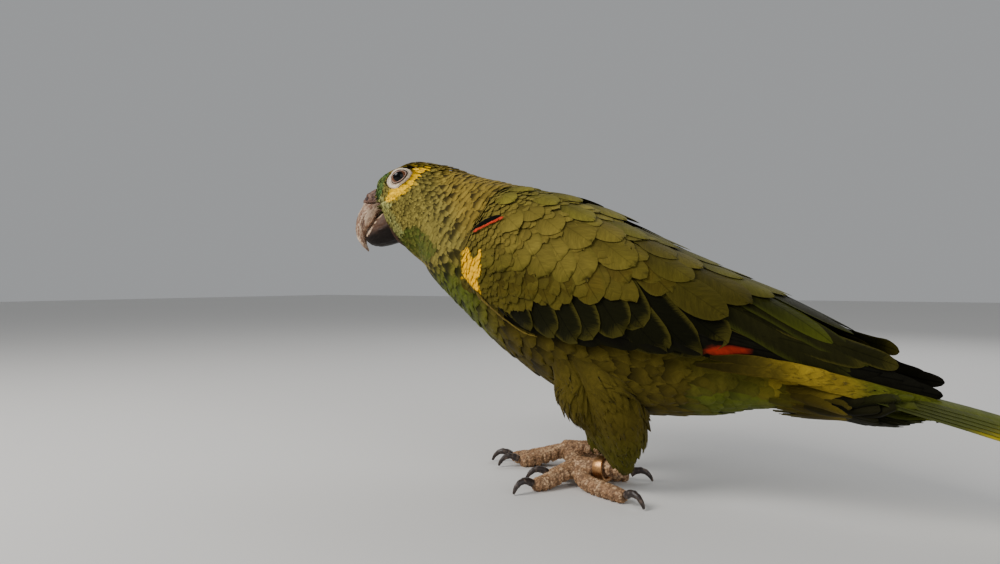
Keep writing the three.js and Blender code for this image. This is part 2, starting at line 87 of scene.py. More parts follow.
def linear(rgb):
    """Linear colour of an sRGB one with values up to 255."""
    share = np.array(rgb, float) / 255
    return tuple(np.where(share <= 0.04045, share / 12.92, ((share + 0.055) / 1.055) ** 2.4))


def colour(name, description, *rgb):
    return bpy.props.FloatVectorProperty(
        name=name, description=description, subtype="COLOR", size=3, min=0, max=1,
        default=linear(rgb))


def length(name, description, millimetres):
    return bpy.props.FloatProperty(
        name=name, description=description, default=millimetres * MM, min=0, unit="LENGTH")


def share_of(name, description, value):
    return bpy.props.FloatProperty(name=name, description=description, default=value, min=0, max=1)


class ParrotSizes(bpy.types.PropertyGroup):
    """Sizes of the coat and the bare parts."""

    coat_body: length("Body coat", "Depth of the plumage over the body's skin", 3.2)
    coat_head: length("Head coat", "Depth of the plumage over the head's skin", 1.3)
    skin_grain: length("Skin grain", "Size of the facets that the skin is made of", 1.5)
    bill_grain: length("Bill grain", "Size of the facets of bill and claws", 0.45)
    foot_grain: length("Foot grain", "Size of the facets of the feet", 0.55)
    bridge: length("Bridge", "How far neighbouring solids are grown to join them", 0.3)
    patch: share_of("Patch", "Side of a feather's patch on the colour map", 0.003)
    iris: length("Iris", "Radius of the iris", 4.7)
    pupil: length("Pupil", "Radius of the pupil", 3.1)


class ParrotColours(bpy.types.PropertyGroup):
    """Colours of the plumage and the bare parts."""

    crown: colour("Crown", "Olive of the crown", 122, 104, 30)
    cheek: colour("Cheek", "Granular yellowish olive of the cheeks", 128, 116, 56)
    forehead: colour("Forehead", "Dull turquoise of the forehead", 74, 108, 58)
    face: colour("Face", "Yellow round the eye", 255, 200, 0)
    lores: colour("Lores", "Pale green between eye and bill", 166, 166, 100)
    bill_side: colour("Bill side", "Pale grey green beside the bill", 150, 156, 96)
    throat: colour("Throat", "Deep green of the throat", 64, 78, 28)
    neck: colour("Neck", "Tan olive of the neck", 132, 112, 46)
    breast: colour("Breast", "Fresh green of the breast", 78, 90, 26)
    belly: colour("Belly", "Olive of belly and flanks", 76, 66, 20)
    back: colour("Back", "Olive green of the back", 88, 84, 24)
    flank: colour("Rear flank", "Yellow of the flank below the wing tip", 142, 120, 36)
    # Partly the undertail's dusky olive and partly painted shade of the shadow under the tail.
    vent: colour("Vent", "Dark olive under the tail", 27, 26, 10)
    covert: colour("Coverts", "Warm olive of the wing's small feathers", 88, 80, 26)
    bright: colour("Bright covert", "Yellower olive of the middle coverts", 78, 68, 20)
    # Partly the greater coverts' own deep green and partly painted shade, as they lie in shadow under
    # the rows above.
    dark: colour("Dark covert", "Blackish green of the greater coverts", 26, 26, 9)
    flight: colour("Flight", "Black of the flight feathers", 19, 18, 11)
    tertial: colour("Tertials", "Olive of the long inner wing feathers", 34, 33, 11)
    leaf: colour("Leaf", "Bright green of the innermost wing feathers and tail", 80, 86, 24)
    tail_edge: colour("Tail edge", "Yellow green of the tail's edge and tip", 178, 160, 22)
    speculum: colour("Speculum", "Red patch of the flight feathers", 142, 38, 24)
    shoulder: colour("Shoulder", "Yellow of the bend of the wing", 250, 190, 6)
    shoulder_red: colour("Shoulder red", "Red rim at the top of the wing", 196, 66, 40)
    pale: colour("Pale edge", "Pale edges of the wing's feathers", 86, 80, 28)
    # Painted shade: the tone of the shadow deep between the feathers, for the skin under the coat and
    # the wing's black slit.
    gap: colour("Gap", "Dark tone deep between the feathers", 26, 24, 6)
    bill_base: colour("Bill base", "Bare dark skin where the lower bill begins", 70, 50, 38)


# --- small sums
def steps(low, high, share):
    """0 below low, 1 above high and smooth between; low may be the higher one."""
    ramp = np.clip((share - low) / (high - low), 0, 1)
    return ramp * ramp * (3 - 2 * ramp)


def turns(count):
    """Even angles round a full turn."""
    return np.linspace(0, 2 * math.pi, count, endpoint=False)


def unit(vectors):
    return vectors / np.maximum(np.linalg.norm(vectors, axis=-1, keepdims=True), 1e-12)


def dot(a, b):
    return (a * b).sum(-1)


def pebbles(points, size, seed=1):
    """0 in the creases between rounded grains of a size and 1 on the grains, at points."""
    scaled = np.asarray(points, float) / size
    cell = np.floor(scaled)
    nearest = np.full((2, len(scaled)), 9.0)
    for step in np.ndindex(3, 3, 3):
        home = cell + np.array(step) - 1
        middle = home + np.stack([lattice(home, seed + axis) for axis in range(3)], axis=-1)
        apart = np.linalg.norm(scaled - middle, axis=1)
        nearest[1] = np.where(apart < nearest[0], nearest[0], np.minimum(nearest[1], apart))
        nearest[0] = np.minimum(nearest[0], apart)
    return steps(0.0, 0.35, nearest[1] - nearest[0])


def mix(a, b, share):
    share = np.asarray(share)[..., None]
    return a * (1 - share) + np.asarray(b) * share


def lattice(cells, seed):
    """Random values from 0 to 1 for whole-numbered cells."""
    x, y, z = (cells[..., axis].astype(np.int64) for axis in range(3))
    mixed = (x * 73856093) ^ (y * 19349663) ^ (z * 83492791) ^ (seed * 2654435761)
    mixed = (mixed ^ (mixed >> 13)) * 1274126177
    return ((mixed ^ (mixed >> 16)) & 0xFFFF) / 65535.0


def grain(points, size, seed=1):
    """Smooth noise from -1 to 1 at points, with lumps of a size."""
    scaled = np.asarray(points, float) / size
    cell = np.floor(scaled)
    part = scaled - cell
    part = part * part * (3 - 2 * part)
    total = 0.0
    for corner in np.ndindex(2, 2, 2):
        weight = np.prod(np.where(corner, part, 1 - part), axis=-1)
        total = total + weight * lattice(cell + np.array(corner), seed)
    return total * 2 - 1


def along_rows(rows, position):
    """Smooth values between rows of numbers, at positions counted in rows (Catmull-Rom)."""
    rows = np.asarray(rows, float)
    position = np.clip(np.asarray(position, float), 0, len(rows) - 1 - 1e-9)
    index = np.floor(position).astype(int)
    part = (position - index)[..., None]
    before, here, after, beyond = (
        rows[np.clip(index + shift, 0, len(rows) - 1)] for shift in (-1, 0, 1, 2))
    return 0.5 * (
        2 * here + (after - before) * part
        + (2 * before - 5 * here + 4 * after - beyond) * part ** 2
        + (3 * here - before - 3 * after + beyond) * part ** 3)


def near_line(points, line):
    """How deep 2-D points lie inside a band: line has [x, y, half width] places. 1 on it, 0 off."""
    best = 0.0
    for (x0, y0, r0), (x1, y1, r1) in zip(line[:-1], line[1:]):
        run = np.array((x1 - x0, y1 - y0))
        part = np.clip((points - (x0, y0)) @ run / (run @ run), 0, 1)
        apart = np.linalg.norm(points - (x0, y0) - part[..., None] * run, axis=-1)
        best = np.maximum(best, steps(1.15, 0.75, apart / (r0 + (r1 - r0) * part)))
    return best


def inside(points, outline):
    """Whether 2-D points lie inside a closed outline."""
    x, y = np.moveaxis(points, -1, 0)
    result = np.zeros(x.shape, bool)
    for (x0, y0), (x1, y1) in zip(outline, outline[1:] + outline[:1]):
        result ^= ((y0 > y) != (y1 > y)) & (x < x0 + (y - y0) * (x1 - x0) / (y1 - y0 + 1e-9))
    return result


# --- the head's own frame
def middle_of(node):
    low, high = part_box(node)
    return (np.array(low) + np.array(high)) / 2


def head_axes():
    """Origin between the eyes, and the directions forward, left and up of the head."""
    left_eye, right_eye = (middle_of(f"eye_{side}") for side, _ in SIDES)
    left = unit((left_eye - right_eye) * (1, 1, 0))
    ahead = np.cross(left, UP)
    forward = math.cos(HEAD_DIP) * ahead - math.sin(HEAD_DIP) * UP
    up = math.sin(HEAD_DIP) * ahead + math.cos(HEAD_DIP) * UP
    origin = (left_eye + right_eye) / 2 - forward * MM
    return origin, forward, left, up


HEAD_ORIGIN, FORWARD, LEFT, HEAD_UP = head_axes()


def head_point(forward, left, up):
    """A place in the head's frame, in millimetres from between the eyes."""
    return HEAD_ORIGIN + MM * (
        np.multiply.outer(forward, FORWARD) + np.multiply.outer(left, LEFT)
        + np.multiply.outer(up, HEAD_UP))


def head_place(points):
    """Forward, left and up of points in the head's frame, in millimetres."""
    apart = (np.asarray(points) - HEAD_ORIGIN) / MM
    return apart @ FORWARD, apart @ LEFT, apart @ HEAD_UP


# --- markings
def palette():
    colours = bpy.context.scene.parrot_colours
    return {key: np.array(getattr(colours, key)) for key in ParrotColours.__annotations__}


# Bands on the side of the head: [forward, up, half width] in its own frame.
FACE_BAND = [(10.5, -8.2, 1.8), (7, -8, 3.6), (2, -6.6, 3.6), (-3, -4.6, 3.8), (-7, -2, 4.4),
             (-11, -2.6, 2.6), (-14.5, -2.4, 0.7)]
FOREHEAD_BAND = [(10.5, 6.5, 2.6), (14.5, 3.2, 3.9), (15.8, -1, 3.5), (20.5, 1, 3.4)]
LORES_BAND = [(17, -6, 2.2), (14, -10.5, 2.8), (11.5, -11.5, 1.6)]
BILL_SIDE_BAND = [(15, -13, 2.8), (13, -21, 3.2), (12, -29, 3.4)]
THROAT_BAND = [(13, -34, 4.6), (4, -36.5, 7.6), (-1.5, -45, 7.6)]
BILL_BASE = (19.2, -0.28, -12.0)  # ahead of this line, [forward, slope, up], the head's side is bare
# Below this line, [height, slope, x from which it slopes], the rear is dark: the undertail's dusky
# olive, deepened with painted shade of the shadow under the tail.
VENT_LINE = (61.4, -0.3, 82.0)


def ahead_of_base(points):
    """How far points lie ahead of the line where the bare base of the lower bill begins, in mm."""
    forward, _, up = head_place(points)
    line = BILL_BASE[0] - BILL_BASE[1] * (up - BILL_BASE[2])
    return np.where(up < BILL_BASE[2] + 4, forward - line, NEVER)


def markings(points):
    """The colour of the bird's head and body plumage at points on it.

    One colour after another is laid on, each where its share says. The numbers are places in
    millimetres between which a colour begins or ends, along the bird, up it or on its head.
    """
    tone = palette()
    points = np.asarray(points, float)
    x, z = points[:, 0] / MM, points[:, 2] / MM
    forward, left, up = head_place(points)
    patchy = grain(points, 9 * MM, 5)
    low = steps(118 - 0.3 * (x + 60), 88 - 0.3 * (x + 60), z + 5 * patchy)
    below = VENT_LINE[0] + VENT_LINE[1] * np.maximum(x - VENT_LINE[2], 0) - z + 1.5 * patchy
    flank = steps(56, 72, x) * steps(104, 90, x) * steps(12, 7, -below)
    on_head = steps(-30, -16, forward - 0.25 * (up + 20)) * steps(-66, -52, up)
    side_view = np.stack([
        value + 0.9 * grain(points, 2.6 * MM, seed) for value, seed in ((forward, 8), (up, 9))], axis=1)
    specks = 0.75 + 0.25 * grain(points, 1.6 * MM, 10)
    result = mix(tone["back"], tone["belly"], low)
    for name, share in (
            ("neck", steps(-52, -84, x + 6 * patchy) * (1 - 0.8 * low)),
            ("breast", steps(-58, -88, x) * low * 0.85),
            ("leaf", 0.45 * steps(20, 62, x) * steps(44, 62, z)),
            ("flank", flank * (0.9 + 0.1 * patchy)),
            ("leaf", steps(90, 104, x) * 0.9),
            # Vent: partly the undertail's dusky olive, partly painted shade under the tail.
            ("vent", steps(-1.5, 1.5, below) * steps(83, 99, x) * steps(150, 142, x)),
            ("breast", 0.7 * steps(3, 8, below) * steps(26, 40, x) * steps(94, 80, x)),
            ("cheek", on_head),
            ("crown", on_head * steps(-2, 5, up - 0.25 * forward)),
            ("throat", on_head * near_line(side_view, THROAT_BAND) * specks),
            ("bill_side", on_head * 0.75 * near_line(side_view, BILL_SIDE_BAND) * specks ** 2),
            ("lores", on_head * near_line(side_view, LORES_BAND) * specks),
            ("forehead", near_line(side_view, FOREHEAD_BAND) * specks),
            ("face", steps(7, 10, np.abs(left)) * near_line(side_view, FACE_BAND))):
        result = mix(result, tone[name], share)
    return result


# --- meshes from the frame
def read_points(values, name):
    """Triples that Blender keeps for a mesh's points."""
    points = np.zeros(len(values) * 3, np.float32)
    values.foreach_get(name, points)
    return points.reshape(-1, 3).astype(float)


def mesh_points(mesh):
    return read_points(mesh.vertices, "co")


def mesh_normals(mesh):
    return read_points(mesh.vertex_normals, "vector")


def solid_points(node):
    return mesh_points(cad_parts[node].data)


def move_points(mesh, points):
    mesh.vertices.foreach_set("co", np.asarray(points, np.float32).ravel())
    mesh.update()


def merged(meshes, result, closed=True):
    """Several meshes in one; closed merges shared corners and turns the faces outward."""
    joined = bmesh.new()
    for mesh in meshes:
        joined.from_mesh(mesh)
    if closed:
        bmesh.ops.remove_doubles(joined, verts=joined.verts, dist=1e-6)
        bmesh.ops.recalc_face_normals(joined, faces=joined.faces)
    joined.to_mesh(result)
    joined.free()
    return result


def solids_mesh(nodes):
    return merged([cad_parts[node].data for node in nodes], bpy.data.meshes.new("solids"))


def place_object(name, data):
    """A new object in the scene with a mesh, a lamp or a camera."""
    piece = bpy.data.objects.new(name, data)
    bpy.context.scene.collection.objects.link(piece)
    return piece


def refined(name, nodes, facet, grow, rounds, apart=False):
    """A fine even mesh round solids: grown, joined, smoothed and shrunk back."""
    groups = [[node] for node in nodes] if apart else [nodes]
    start = merged([solids_mesh(group) for group in groups], bpy.data.meshes.new(name), False)
    piece = place_object(name, start)
    for kind, settings in (
            ("DISPLACE", {"mid_level": 0, "strength": grow}),
            ("REMESH", {"mode": "VOXEL", "voxel_size": facet}),
            ("SMOOTH", {"factor": 0.5, "iterations": rounds}),
            ("DISPLACE", {"mid_level": 0, "strength": -grow})):
        step = piece.modifiers.new(kind, kind)
        for key, value in settings.items():
            setattr(step, key, value)
    evaluated = piece.evaluated_get(bpy.context.evaluated_depsgraph_get())
    fine = bpy.data.meshes.new_from_object(evaluated)
    piece.modifiers.clear()
    piece.data = fine
    fine.polygons.foreach_set("use_smooth", [True] * len(fine.polygons))
    return piece


def tree_of(mesh):
    faces = [tuple(face.vertices) for face in mesh.polygons]
    return BVHTree.FromPolygons([tuple(point) for point in mesh_points(mesh)], faces)


def reached(tree, starts, ways, far):
    """How far rays go before they meet a mesh; nan where they meet nothing."""
    starts, ways = np.broadcast_arrays(starts, ways)
    reach = np.full(starts.shape[:-1], np.nan)
    for cell in np.ndindex(reach.shape):
        hit = tree.ray_cast(Vector(starts[cell]), Vector(ways[cell]), far)
        if hit[0] is not None:
            reach[cell] = hit[3]
    return reach


# --- grounds for the feathers
class Ground:
    """A smooth grid of places on a surface, read at fractional rows and columns."""

    def __init__(self, places, middles):
        self.places = places
        self.limit = np.array(places.shape[:2]) - 1.001
        self.outward = 1
        rows, columns = np.mgrid[1:places.shape[0] - 1:4, 1:places.shape[1] - 1:4].reshape(2, -1)
        away = places[rows, columns] - middles[rows]
        if dot(self.normal(rows, columns), away).mean() < 0:
            self.outward = -1

    def at(self, row, column):
        row = np.clip(row, 0, self.limit[0])
        column = np.clip(column, 0, self.limit[1])
        i, j = np.floor(row).astype(int), np.floor(column).astype(int)
        a, b = (row - i)[..., None], (column - j)[..., None]
        grid = self.places
        return ((grid[i, j] * (1 - a) + grid[i + 1, j] * a) * (1 - b)
                + (grid[i, j + 1] * (1 - a) + grid[i + 1, j + 1] * a) * b)

    def slopes(self, row, column):
        """Change of place for one row and for one column."""
        return (self.at(row + 1, column) - self.at(row - 1, column)) / 2, (
            self.at(row, column + 1) - self.at(row, column - 1)) / 2

    def normal(self, row, column):
        return unit(np.cross(*self.slopes(row, column))) * self.outward

    def down(self, cells, length):
        """Cells a length further along the rows' way."""
        way = unit(self.slopes(*cells)[0])
        return np.array(self.shifted(*cells, way * length[:, None]))

    def spots(self, cells):
        """Places of patches on an unwrap of the ground: round it, and along it."""
        place = np.stack((cells[1] / self.limit[1], cells[0] / self.limit[0]), axis=1)
        return 0.01 + 0.97 * np.clip(place, 0, 1)

    def shifted(self, row, column, step):
        """Row and column a small 3-D step away, along the surface."""
        by_row, by_column = self.slopes(row, column)
        rr, cc, rc = dot(by_row, by_row), dot(by_column, by_column), dot(by_row, by_column)
        r, c = dot(by_row, step), dot(by_column, step)
        area = np.maximum(rr * cc - rc * rc, 1e-14)
        return row + (r * cc - c * rc) / area, column + (c * rr - r * rc) / area


def blurred(grid, rounds, wrap):
    """A grid smoothed along both ways; wrap joins its last column to its first."""
    for _ in range(rounds):
        inner = grid.copy()
        inner[1:-1] = (grid[:-2] + 2 * grid[1:-1] + grid[2:]) / 4
        if wrap:
            grid = (np.roll(inner, 1, 1) + 2 * inner + np.roll(inner, -1, 1)) / 4
        else:
            grid = inner.copy()
            grid[:, 1:-1] = (inner[:, :-2] + 2 * inner[:, 1:-1] + inner[:, 2:]) / 4
    return grid


def filled(grid, axis):
    """A grid with its missing values taken from their neighbours along an axis."""
    lines = np.moveaxis(grid, axis, 0).reshape(grid.shape[axis], -1)
    places = np.arange(len(lines))
    for column in lines.T:
        known = ~np.isnan(column)
        if known.any():
            column[:] = np.interp(places, places[known], column[known])
    return np.moveaxis(lines.reshape(np.moveaxis(grid, axis, 0).shape), 0, axis)


def smoothed(reach, rounds, wrap):
    """A grid of lengths, filled along both ways and smoothed."""
    return blurred(filled(filled(reach, 1), 0), rounds, wrap)


def round_ground(places, middles):
    """A ground whose last column meets its first."""
    return Ground(np.concatenate((places, places[:, :2]), axis=1), middles)


MID_PLANE = (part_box("wing_left_coverts")[1].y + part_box("wing_right_coverts")[0].y) / 2


def hoop_frames():
    """Middle, upward and sideways direction of every hoop along the bird."""
    rows = [[*head_point(ahead, 0, up), *head_point(chin_ahead, 0, chin_up), *-LEFT]
            for ahead, up, chin_ahead, chin_up in HEAD_HOOPS]
    rows += [[back_x * MM, MID_PLANE, back_z * MM, belly_x * MM, MID_PLANE, belly_z * MM, 0, 1, 0]
             for back_x, back_z, belly_x, belly_z in BODY_HOOPS]
    count = (len(rows) - 1) * HOOP_STEPS + 1
    smooth = along_rows(rows, np.linspace(0, len(rows) - 1, count))
    top, bottom, across = smooth[:, :3], smooth[:, 3:6], unit(smooth[:, 6:])
    rise = unit(top - bottom)
    return bottom + (top - bottom) * 0.5, rise, unit(across - rise * dot(across, rise)[:, None])


FAR = 0.09  # longer than any way out of the body


def body_ground():
    """The body's surface by hoops (rows) and angles from the back round the left side."""
    middles, rises, acrosses = hoop_frames()
    angles = turns(HOOP_ANGLES)[:, None]
    ways = np.cos(angles) * rises[:, None] - np.sin(angles) * acrosses[:, None]
    reach = smoothed(reached(tree_of(body_core()), middles[:, None], ways, FAR), 3, True)
    return round_ground(middles[:, None] + reach[..., None] * ways, middles)


# The folded wing is measured from an axis inside the body: x back along it, and the angle
# from straight up round the outside.
WING_AXIS = (90.0, -0.27)  # its height at x = 0, and its slope
WING_X = (-96.0, 136.0, 2.0)
WING_ANGLE = (-6.0, 150.0, 3.0)
WING_HOLLOW = 0.8  # nearer the axis than this share of the usual, the wing's solids are not met
HOLLOW_START = 40  # and only behind this x
# The rear of the wing is also read from the side, by x and height.
SIDE_X = (-70.0, 136.0, 2.0)
SIDE_Z = (46.0, 132.0, 2.0)


def wing_nodes(side, *kinds):
    return [f"wing_{side}_{kind}" for kind in kinds]


def wing_tree(side):
    return tree_of(solids_mesh(wing_nodes(side, "coverts", "secondaries", "primaries")))


def mid_line(xs, heights):
    """Places in the bird's middle plane at x and heights in millimetres."""
    return np.stack((xs * MM, np.full(len(xs), MID_PLANE), heights * MM), axis=1)


def wing_ground(side, sign):
    """The wing by x (rows) and angles (columns)."""
    xs, turn = np.arange(*WING_X), np.radians(np.arange(*WING_ANGLE))
    ways = np.stack((np.zeros_like(turn), -sign * np.sin(turn), np.cos(turn)), axis=1)
    axes = mid_line(xs, WING_AXIS[0] + WING_AXIS[1] * xs)
    reach = FAR - reached(wing_tree(side), axes[:, None] + ways * FAR, -ways, FAR)
    inner = reach < WING_HOLLOW * np.nanmedian(reach, axis=1)[:, None]
    reach[inner & (xs > HOLLOW_START)[:, None]] = np.nan
    return Ground(axes[:, None] + smoothed(reach, 2, False)[..., None] * ways, axes)


def wing_side(side, sign):
    """The wing seen from its side, by x (rows) and height (columns)."""
    xs, zs = np.arange(*SIDE_X), np.arange(*SIDE_Z)
    grid = np.stack(np.broadcast_arrays(xs[:, None] * MM, MID_PLANE - sign * FAR, zs * MM), axis=-1)
    out = smoothed(FAR - reached(wing_tree(side), grid, (0, sign, 0), FAR - 2 * MM), 2, False)
    grid[..., 1] = MID_PLANE - sign * out
    return Ground(grid, mid_line(xs, np.full(len(xs), zs.mean())))


def cell_in(x_range, other_range, x, other):
    """Row and column of a grid at places given in its own measures."""
    return tuple((np.asarray(value, float) - span[0]) / span[2]
                 for value, span in ((x, x_range), (other, other_range)))


def side_cell(x, z):
    return cell_in(SIDE_X, SIDE_Z, x, z)


def wing_cell(x, angle):
    return cell_in(WING_X, WING_ANGLE, x, angle)


# --- feathers
# A vane's outline: half width at its root, share where it is full and where it tapers, how
# bluntly it ends, and its rows and columns of points. Its rows crowd towards the tip.
SHAPES = {
    "scale": (0.35, 0.45, 0.55, 2.0, 5, 3),
    "contour": (0.3, 0.5, 0.62, 2.1, 7, 5),
    "ruff": (0.5, 0.35, 0.84, 2.6, 8, 5),
    "scapular": (0.45, 0.45, 0.56, 1.8, 10, 7),
    "covert": (0.35, 0.5, 0.68, 2.3, 10, 7),
    "flight": (0.45, 0.35, 0.84, 2.2, 26, 9),
    "blade": (0.5, 0.4, 0.6, 1.5, 24, 9),
    "loose": (0.5, 0.4, 0.45, 1.6, 7, 5),
}
CROWDING = 1.5
LEAST_WIDTH = 0.07  # share of the full half width that is left at the very tip
RISE_POWER = 0.8  # a vane leaves its root a little faster than it reaches its tip's height


def vane_grid(shape):
    """Shares along the vane, its half widths there and the columns across."""
    root, full, taper, power, rows, columns = SHAPES[shape]
    along = 1 - (1 - np.linspace(0, 1, rows)) ** CROWDING
    opening = root + (1 - root) * steps(0, full, along)
    end = np.clip((along - taper) / (1 - taper), 0, 1)
    closing = np.maximum(1 - end ** power, 0) ** (1 / power)
    return along, np.maximum(opening * closing, LEAST_WIDTH), np.linspace(-1, 1, columns)


def vane_faces(rows, columns):
    """Corners of one vane's faces, upper side first, and how many faces the upper side has."""
    upper = [(r * columns + c, (r + 1) * columns + c, (r + 1) * columns + c + 1, r * columns + c + 1)
             for r in range(rows - 1) for c in range(columns - 1)]
    lower = [(r * columns, (r + 1) * columns - 1, (r + 2) * columns - 1, (r + 1) * columns)
             for r in range(rows - 1)]
    root = tuple(range(columns))
    tip = tuple((rows - 1) * columns + c for c in reversed(range(columns)))
    return upper + lower + [root, tip], len(upper)


class Coat:
    """Gathers vanes of one piece and makes them into one mesh."""

    def __init__(self, name):
        self.name = name
        self.lots = []

    def lay(self, ground, shape, root, tip, half_width, lift, crown, tint, rim, rim_share,
            *, sunk, seed, bend=0.0, tilt=0.0, cells=None, shaft=0.0, ragged=0.05):
        """Lays vanes on a ground from root to tip cells.

        half_width, lift (of the tip), crown, tilt and sunk (height of the root) are in metres.
        tint is the vanes' colours, or a function of along, across and places that gives them;
        rim is the colour of their edges and rim_share how much of it they take. ragged is a
        share of their length. cells holds the corners and size of their patches on the map.
        """
        along, widths, columns = vane_grid(shape)
        root, tip = np.asarray(root, float), np.asarray(tip, float)
        count = root.shape[1]
        spread = np.random.default_rng(seed)
        half_width, lift, crown, bend, tilt, shaft, sunk, rim_share = (
            np.broadcast_to(np.asarray(value, float), count)[:, None]
            for value in (half_width, lift, crown, bend, tilt, shaft, sunk, rim_share))
        bow = 4 * along * (1 - along) * bend
        start, run = root[:, :, None], (tip - root)[:, :, None]
        rows = start[0] + run[0] * along - bow * run[1]
        cols = start[1] + run[1] * along + bow * run[0]
        spine = ground.at(rows, cols)
        forward = unit(np.gradient(spine, axis=1))
        normal = ground.normal(rows, cols)
        across = unit(np.cross(normal, forward))
        reach = half_width * widths
        left, right = (ground.at(*ground.shifted(rows, cols, across * (way * reach)[..., None]))
                       for way in (-1, 1))
        sway = (right - left) / 2
        sag = (right + left) / 2 - spine
        height = sunk + (lift - sunk) * along ** RISE_POWER
        straight = spine[:, -1] - spine[:, 0]
        places = np.empty((count, len(along), len(columns), 3))
        for c, column in enumerate(columns):
            raise_by = height + crown * (1 - column ** 2) * np.sqrt(widths) + tilt * column * widths
            fray = ragged * (spread.random(count)[:, None] - 0.5) * along ** 3
            places[:, :, c] = (spine + sway * column + sag * column ** 2 + normal * raise_by[..., None]
                               + fray[..., None] * straight[:, None])
        grid = np.zeros(places.shape[:3])
        if callable(tint):
            tint = tint(along[:, None] + grid, columns + grid, places)
        else:
            tint = np.broadcast_to(np.reshape(tint, (-1, 1, 1, 3)), places.shape)
        length = np.linalg.norm(straight, axis=-1)[:, None, None] / MM
        edge = np.concatenate((np.broadcast_to(rim, (count, 3)), rim_share), axis=1)
        layers = {
            "places": places,
            "vane": [columns, along[:, None], spread.random(count)[:, None, None]],
            "span": [(reach / MM)[..., None] * columns, length * along[:, None], shaft[..., None]],
            "tint": tint,
            "rim": edge[:, None, None] + grid[..., None],
        }
        for name, values in layers.items():
            if isinstance(values, list):
                values = np.stack([grid + part for part in values], axis=-1)
            layers[name] = values.reshape(count, -1, values.shape[-1])
        patch = (ground.spots(root), sizes().patch) if cells is None else cells
        self.lots.append((layers, patch, vane_faces(len(along), len(columns))))

    def build(self, material, slot, *nodes):
        """Makes the mesh of all the vanes, as one piece riding on the body."""
        loops, totals, maps, smooth, starts = [], [], [], [], 0
        for lot, (corner, size), (faces, upper) in self.lots:
            count, per = lot["places"].shape[:2]
            flat = np.array([point for face in faces for point in face])
            loops.append((flat + (np.arange(count) * per + starts)[:, None]).ravel())
            totals.append(np.tile([len(face) for face in faces], count))
            smooth.append(np.tile(np.arange(len(faces)) < upper, count))
            within = lot["vane"][..., :2] * (0.5, 1) + (0.5, 0)
            spot = corner[:, None] + np.asarray(size) * within
            maps.append(spot[:, flat].reshape(-1, 2))
            starts += count * per
        mesh = bpy.data.meshes.new(self.name)
        loops, totals, smooth = (np.concatenate(part) for part in (loops, totals, smooth))
        points, vane, span, tint, rim = (
            np.concatenate([np.concatenate(lot[name]) for lot, _, _ in self.lots])
            for name in ("places", "vane", "span", "tint", "rim"))
        mesh.vertices.add(len(points))
        mesh.vertices.foreach_set("co", points.astype(np.float32).ravel())
        mesh.loops.add(len(loops))
        mesh.loops.foreach_set("vertex_index", loops.astype(np.int32))
        mesh.polygons.add(len(totals))
        mesh.polygons.foreach_set("loop_start", (np.cumsum(totals) - totals).astype(np.int32))
        mesh.polygons.foreach_set("loop_total", totals.astype(np.int32))
        mesh.update(calc_edges=True)
        mesh.polygons.foreach_set("use_smooth", smooth)
        crease_rims(mesh, np.repeat(smooth, totals))
        for name, values in (("vane", vane), ("span", span)):
            attribute = mesh.attributes.new(name, "FLOAT_VECTOR", "POINT")
            attribute.data.foreach_set("vector", values.astype(np.float32).ravel())
        paint(mesh, "tint", tint)
        paint(mesh, "rim", rim)
        chart = mesh.uv_layers.new(name="OFBake")
        chart.data.foreach_set("uv", np.concatenate(maps).astype(np.float32).ravel())
        finished(place_object(self.name, mesh), material, slot, *nodes)


def lit(tint, along, hidden, full, low=0.4, high=0.9):
    """Tints with painted shade near a vane's root, where the vane before it lies over it: a hidden share
    of light there, and the full one from high on, which above 1 is a painted highlight at the tip.
    """
    return tint * (hidden + (full - hidden) * steps(low, high, along))[..., None]


def crease_rims(mesh, upper):
    """Makes the edges sharp where the upper side of a vane meets its underside."""
    edges = np.zeros(len(mesh.loops), np.int32)
    mesh.loops.foreach_get("edge_index", edges)
    seen = np.zeros((2, len(mesh.edges)), bool)
    seen[0, edges[upper]] = True
    seen[1, edges[~upper]] = True
    crease = mesh.attributes.new("sharp_edge", "BOOLEAN", "EDGE")
    crease.data.foreach_set("value", seen.all(0))


def sizes():
    return bpy.context.scene.parrot_sizes


def paint(mesh, name, colours):
    """A layer of colours for a mesh's points, with an alpha of 1 where they bring none."""
    values = np.ones((len(mesh.vertices), 4), np.float32)
    values[:, :colours.shape[-1]] = colours.reshape(len(values), -1)
    mesh.color_attributes.new(name, "FLOAT_COLOR", "POINT").data.foreach_set("color", values.ravel())


def finished(piece, material, slot, *nodes):
    """Gives a piece its material and body, and hides the nodes that it stands for; slot is not used."""
    piece.data.materials.clear()
    piece.data.materials.append(material)
    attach(piece, BODY)
    if nodes:
        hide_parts(*nodes)


def painted(piece, tint, material, slot, *nodes):
    paint(piece.data, "tint", tint)
    finished(piece, material, slot, *nodes)


